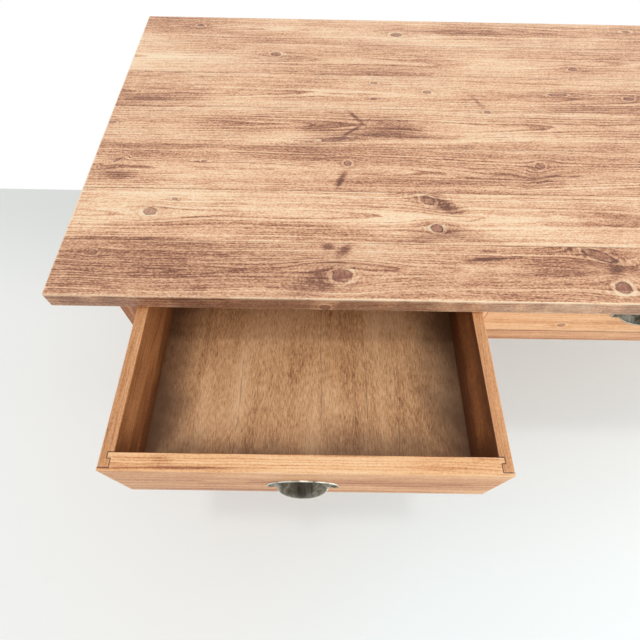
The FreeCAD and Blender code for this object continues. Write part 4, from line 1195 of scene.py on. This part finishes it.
@dataclass
class CupPull:
    """A cast cup pull: a thin half-oval plate and a hollow quarter dome."""

    node: str
    body: str
    seed: float = 0.0
    width: float = 111 * MM
    height: float = 39 * MM
    plate: float = 2.2 * MM
    plate_steps: int = 48
    plate_round: float = 0.9
    plate_lift: float = 0.96
    dome_width: float = 78 * MM
    dome_height: float = 34 * MM
    dome_round: float = 0.92
    wall: float = 1.8 * MM
    rim_height: float = 3.0 * MM
    rim_swell: float = 0.6 * MM
    rim_thick: float = 1.4 * MM
    rim_parts: int = 10
    margin: float = 0.1 * MM
    sides: int = 72
    rings: int = 20
    crisp_angle: float = 38.0
    reach: float = field(init=False, default=0.0)

    def build(self) -> None:
        """Build the pull's mesh where its CAD node stands."""
        low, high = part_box(self.node)
        self.reach = high.y - low.y - self.rim_swell - self.margin
        origin = Vector(((low.x + high.x) / 2, high.y, low.z))
        work = bmesh.new()
        # Marks the plate's rim and the bead for rubbed edges with a painted highlight
        rubbed = work.verts.layers.float.new("rubbed")
        self.add_plate(work, rubbed)
        self.add_dome(work)
        self.add_rim(work, rubbed)
        bmesh.ops.remove_doubles(work, verts=work.verts, dist=1e-6)
        bmesh.ops.recalc_face_normals(work, faces=work.faces)
        mesh = bpy.data.meshes.new(f"{self.node} mesh")
        work.to_mesh(mesh)
        work.free()
        mesh.transform(Matrix.Translation(origin))
        mesh.materials.append(PEWTER.material(self.node, self.seed, origin.x))
        for face in mesh.polygons:
            face.use_smooth = True
        piece = add_piece(f"{self.node}_cast", mesh, self.body, "antique_pewter", self.node)
        edges = piece.modifiers.new("crisp edges", "EDGE_SPLIT")
        edges.split_angle = math.radians(self.crisp_angle)

    def add_plate(self, work: bmesh.types.BMesh, rubbed: object) -> None:
        """Add the half-oval plate with softened edges, rubbed and given a painted highlight.
        """
        points = []
        for step in range(self.plate_steps + 1):
            angle = math.pi * step / self.plate_steps
            points.append((self.width / 2 * bent(-math.cos(angle), self.plate_round),
                           self.height * math.sin(angle) ** self.plate_lift))
        rows = []
        for inset, depth, rub_and_glint in ((0.0, 0.0, 0.5), (0.0, 1.4 * MM, 1.0),
                                  (0.4 * MM, 2.0 * MM, 1.0), (1.1 * MM, self.plate, 0.7),
                                  (2.4 * MM, self.plate, 0.0)):
            row = []
            for x, z in points:
                share = 1 - inset / (math.hypot(x, z) or 1.0)
                vert = work.verts.new((x * share, -depth, max(z * share, 0.0)))
                vert[rubbed] = rub_and_glint
                row.append(vert)
            rows.append(row)
        span_rows(work, rows, flip=True)
        for first, second in zip(rows, rows[1:]):
            work.faces.new((first[0], first[-1], second[-1], second[0]))
        work.faces.new(rows[0])
        work.faces.new(rows[-1][::-1])

    def add_dome(self, work: bmesh.types.BMesh) -> None:
        """Add the hollow quarter dome."""
        axis = (self.dome_height ** 2 - self.reach ** 2) / (2 * self.reach)

        def spot(turn: float, rise: float, swell: float) -> Vector:
            """A point of the shell at a turn round the oval and a rise up the dome."""
            x = bent(-math.cos(turn), self.dome_round) * (self.dome_width / 2 + swell)
            far = axis + math.sin(turn) ** self.dome_round * (self.reach + swell)
            angle = math.acos(min(1.0, axis / far)) * rise
            return Vector((x, axis - far * math.cos(angle), far * math.sin(angle)))

        outer, inner = (
            [[work.verts.new(spot(math.pi * step / self.sides, ring / self.rings, swell))
              for step in range(self.sides + 1)] for ring in range(self.rings + 1)]
            for swell in (0.0, -self.wall))
        span_rows(work, outer)
        span_rows(work, inner, flip=True)
        span_rows(work, (inner[0], outer[0]))
        span_rows(work, (outer[-1], inner[-1]))

    def add_rim(self, work: bmesh.types.BMesh, rubbed: object) -> None:
        """Add the bead along the dome's lower edge."""
        bead = []
        inset = self.rim_thick - self.rim_swell
        for step in range(self.sides + 1):
            turn = math.pi * step / self.sides
            along, ahead = -math.cos(turn), -math.sin(turn)
            centre = Vector((
                bent(along, self.dome_round) * (self.dome_width / 2 - inset),
                bent(ahead, self.dome_round) * (self.reach - inset), self.rim_height / 2))
            ring = []
            for part in range(self.rim_parts):
                angle = math.tau * part / self.rim_parts
                vert = work.verts.new(
                    centre + Vector((along, ahead, 0)) * (math.cos(angle) * self.rim_thick)
                    + Vector((0, 0, math.sin(angle) * self.rim_height / 2)))
                vert[rubbed] = 0.8
                ring.append(vert)
            bead.append(ring)
        span_rows(work, bead, closed=True)
        work.faces.new(bead[0])
        work.faces.new(bead[-1][::-1])


@dataclass
class Drawer:
    """One drawer with its cup pull and the pull's screws."""

    side: str
    seed: float
    front_knots: tuple[Knot, ...] = ()
    front_streaks: tuple[Smudge, ...] = ()
    floor_lines: tuple[float, ...] = (0.150, 0.292, 0.372, 0.425)
    # Painted shade on the front's face for a positive value; a negative value paints light
    # onto it
    wash: float = 0.0
    wash_length: float = 0.55
    hook_in: float = 16 * MM
    hook_deep: float = 12.3 * MM
    groove_in: float = 10.7 * MM

    def build(self) -> None:
        """Dress the drawer's boards, then build its pull and screws."""
        walls = {part: Box.around(f"{self.side}_drawer_{part}")
                 for part in ("left_side", "right_side", "back", "front", "bottom")}
        inside = self.inner_box(walls)
        seams = {part: self.joint_seams(walls["front"], walls[part], part == "left_side")
                 for part in ("left_side", "right_side")}
        for count, (part, grain, finish) in enumerate((
                ("left_side", Grain.ALONG_Y_UPRIGHT, DRAWER_LEFT_PINE),
                ("right_side", Grain.ALONG_Y_UPRIGHT, DRAWER_RIGHT_PINE),
                ("back", Grain.ALONG_X_UPRIGHT, INNER_PINE))):
            node = f"{self.side}_drawer_{part}"
            dress(node, plain_board(node, finish, grain, self.seed + count, inside=inside,
                                    seams=seams.get(part, ())))
        front, floor = f"{self.side}_drawer_front", f"{self.side}_drawer_bottom"
        corner = walls["front"].low
        # Painted shade, or painted light when negative, over the front's face only
        wash = Smudge(corner.x, 0.0, self.wash_length, WIDE, dark=self.wash,
                      level=corner.y - 1 * MM, deep=2 * MM)
        dress(front, plain_board(
            front, DRAWER_FRONT_PINE, Grain.ALONG_X_UPRIGHT, self.seed + 4,
            self.front_knots, (*self.front_streaks, wash), inside,
            seams["left_side"] + seams["right_side"]))
        dress(floor, PLYWOOD.material(floor, walls["bottom"], self.floor_lines))
        CupPull(f"{self.side}_cup_pull", f"{self.side}_drawer", self.seed).build()
        title = f"{self.side} pull screws"
        PULL_SCREW.stand(f"{self.side}_pull_screws", f"{self.side}_drawer", title, 1,
                         int(self.seed), STEEL.material(title, self.seed))

    def joint_seams(self, front: Box, side: Box, left: bool) -> list[Seam]:
        """The lines of the lock joint between the front and a side.

        Args:
            front: the front's box.
            side: the side's box.
            left: whether it is the left side.

        Returns:
            The seams, in order from the outer corner to the inner one.
        """
        outer, inward = (side.low.x, 1) if left else (side.high.x, -1)
        lip, hook = side.low.y, side.low.y + self.hook_deep
        plan = [(0.0, lip), (self.hook_in, lip), (self.hook_in, hook),
                (self.groove_in, hook), (self.groove_in, front.high.y),
                (side.high.x - side.low.x, front.high.y)]
        points = [(outer + inward * x, y) for x, y in plan]
        return [Seam.between(start, end, side.low.z, side.high.z + 1 * MM)
                for start, end in zip(points, points[1:])]

    def inner_box(self, walls: dict[str, Box]) -> Box:
        """The hollow of the drawer, from the boards round it."""
        return Box(
            Vector((walls["left_side"].high.x, walls["front"].high.y,
                    walls["bottom"].high.z)),
            Vector((walls["right_side"].low.x, walls["back"].low.y,
                    walls["front"].high.z + 20 * MM)))


@dataclass(frozen=True)
class Lamp:
    """A lamp, where it hangs, what it is turned to and how it shines."""

    name: str
    energy: float
    place: Triple
    target: Triple = ORIGIN
    size: tuple[float, ...] = ()
    colour: Triple = (1.0, 0.98, 0.95)
    spread: float = 5.0

    def hang(self) -> None:
        """Hang the lamp; one without a size shines from afar."""
        lamp = bpy.data.lights.new(self.name, "AREA" if self.size else "SUN")
        lamp.energy, lamp.color = self.energy, self.colour
        if self.size:
            lamp.shape = "RECTANGLE"
            lamp.size, lamp.size_y = self.size
        else:
            lamp.angle = math.radians(self.spread)
        hung = bpy.data.objects.new(self.name, lamp)
        bpy.context.scene.collection.objects.link(hung)
        hung.location = self.place
        hung.rotation_mode = "QUATERNION"
        hung.rotation_quaternion = (
            Vector(self.target) - Vector(self.place)).to_track_quat("-Z", "Y")


@dataclass
class Studio:
    """The pale floor, the soft light and the camera of the photograph."""

    camera_offset: Triple = (0.44032, -0.389, 0.600)
    pitch: float = 59.638
    yaw: float = 0.576
    roll: float = -1.397
    lens: float = 25.306
    sensor: float = 36.0
    nearest: float = 20 * MM
    floor_reach: float = 9.0
    floor_end: float = 0.615
    floor_colours: tuple[Rgb, Rgb] = ((230, 230, 228), (238, 238, 237))
    # What camera rays see of the floor: painted light, cooler and brighter to the right, and a
    # painted shadow near the wall
    floor_seen: tuple[Rgb, Rgb, Rgb] = ((246, 247, 243), (246, 255, 255), (226, 228, 223))
    floor_turn: tuple[float, float] = (-1.0, -0.2)
    wall_shade: float = 0.7
    sky: float = 0.88
    sky_colour: Triple = (0.95, 0.97, 1.0)
    lamps: tuple[Lamp, ...] = (
        Lamp("overhead", 0.28, (0.0, -0.16, 3.0)),
        Lamp("window", 14.0, (1.6, -2.4, 2.6), (-0.4, -0.5, 0.75), (2.4, 1.6)),
        Lamp("low window", 24.0, (2.6, -1.0, 0.55), (0.1, -0.4, 0.0), (1.8, 0.8),
             (1.0, 1.0, 1.0)),
    )

    def build(self) -> None:
        """Lay the floor, hang the light and stand the camera."""
        self.lay_floor()
        self.fill_room()
        for lamp in self.lamps:
            lamp.hang()
        self.stand_camera()

    def lay_floor(self) -> None:
        """Lay a pale floor that ends where the wall stands."""
        mesh = bpy.data.meshes.new("studio floor")
        far, end = self.floor_reach, self.floor_end
        mesh.from_pydata([(-far, -far, 0), (far, -far, 0), (far, end, 0), (-far, end, 0)],
                         [], [(0, 1, 2, 3)])
        made, sheet, spot = new_material("pale floor")
        first, second = (stain(part) for part in self.floor_colours)
        colour = sheet.mix(sheet.noise(spot, 1.6, 3.0), first, second)
        x, y, _ = sheet.split(spot)
        # Camera rays see painted light, cooler and brighter to the right, and a painted shadow
        # along the wall
        left, right, wall = (stain(part) for part in self.floor_seen)
        camera_floor_light = sheet.mix(sheet.ramp(x, *self.floor_turn), left, right)
        camera_floor_light = sheet.mix(sheet.ramp(y, end - self.wall_shade, end), camera_floor_light, wall)
        watched = sheet.signal("ShaderNodeLightPath", out="Is Camera Ray")
        end_material(sheet, {"Base Color": sheet.mix(watched, colour, camera_floor_light),
                             "Roughness": 0.6})
        mesh.materials.append(made)
        floor = bpy.data.objects.new("studio_floor", mesh)
        bpy.context.scene.collection.objects.link(floor)

    def fill_room(self) -> None:
        """Fill the room with soft light and show the camera a white wall."""
        world = bpy.data.worlds.new("studio")
        world.use_nodes = True
        bpy.context.scene.world = world
        sheet = NodeSheet(world.node_tree)
        soft = sheet.node("ShaderNodeBackground",
                          {"Color": (*self.sky_colour, 1.0), "Strength": self.sky})
        white = sheet.node("ShaderNodeBackground", {"Color": (1.0, 1.0, 1.0, 1.0)})
        watched = sheet.signal("ShaderNodeLightPath", out="Is Camera Ray")
        blend = sheet.node("ShaderNodeMixShader", {0: watched, 1: soft, 2: white})
        sheet.node("ShaderNodeOutputWorld", {"Surface": blend})

    def stand_camera(self) -> None:
        """Stand the camera where the photograph was taken from."""
        low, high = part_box("top_board_1")
        corner = Vector((low.x, low.y, high.z))
        pitch, yaw, roll = (math.radians(angle) for angle in
                            (self.pitch, self.yaw, self.roll))
        ahead = Vector((math.sin(yaw) * math.cos(pitch), math.cos(yaw) * math.cos(pitch),
                        -math.sin(pitch)))
        level = Vector((math.cos(yaw), -math.sin(yaw), 0))
        down = ahead.cross(level)
        right = level * math.cos(roll) + down * math.sin(roll)
        below = down * math.cos(roll) - level * math.sin(roll)
        data = bpy.data.cameras.new("camera")
        data.sensor_width, data.lens = self.sensor, self.lens
        data.clip_start = self.nearest
        camera = bpy.data.objects.new("camera", data)
        bpy.context.scene.collection.objects.link(camera)
        turned = Matrix((right, -below, -ahead)).transposed().to_4x4()
        camera.matrix_world = Matrix.Translation(
            corner + Vector(self.camera_offset)) @ turned
        bpy.context.scene.camera = camera


LEFT_STREAKS = (
    Smudge(-0.784, 0.744, 0.075, 0.004, dark=0.8, level=-0.679, deep=0.0025),
    Smudge(-0.819, 0.744, 0.016, 0.010, dark=0.4, level=-0.669, deep=0.006),
    Smudge(-0.560, 0.744, 0.060, 0.004, dark=0.5, level=-0.660, deep=0.0015))
# The left front's face gets painted shade, the middle and right fronts painted light
DRAWERS = (
    Drawer("left", 31.0, front_streaks=LEFT_STREAKS, wash=0.5),
    Drawer("middle", 51.0, (Knot(-0.130, 0.6225, 0.008, 0.006),), wash=-0.25,
           floor_lines=(0.118, 0.203, 0.347, 0.470)),
    Drawer("right", 71.0, (Knot(0.742, 0.683, 0.010, 0.007),), wash=-0.25,
           floor_lines=(0.086, 0.251, 0.333, 0.502)),
)


def main() -> None:
    """Build the scene."""
    logging.basicConfig(level=logging.INFO, format="%(message)s")
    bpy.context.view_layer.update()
    for piece in (Tabletop(), Base(), *DRAWERS, Studio()):
        piece.build()
    bpy.context.scene.view_settings.view_transform = "Standard"


if __name__ == "__main__":
    main()
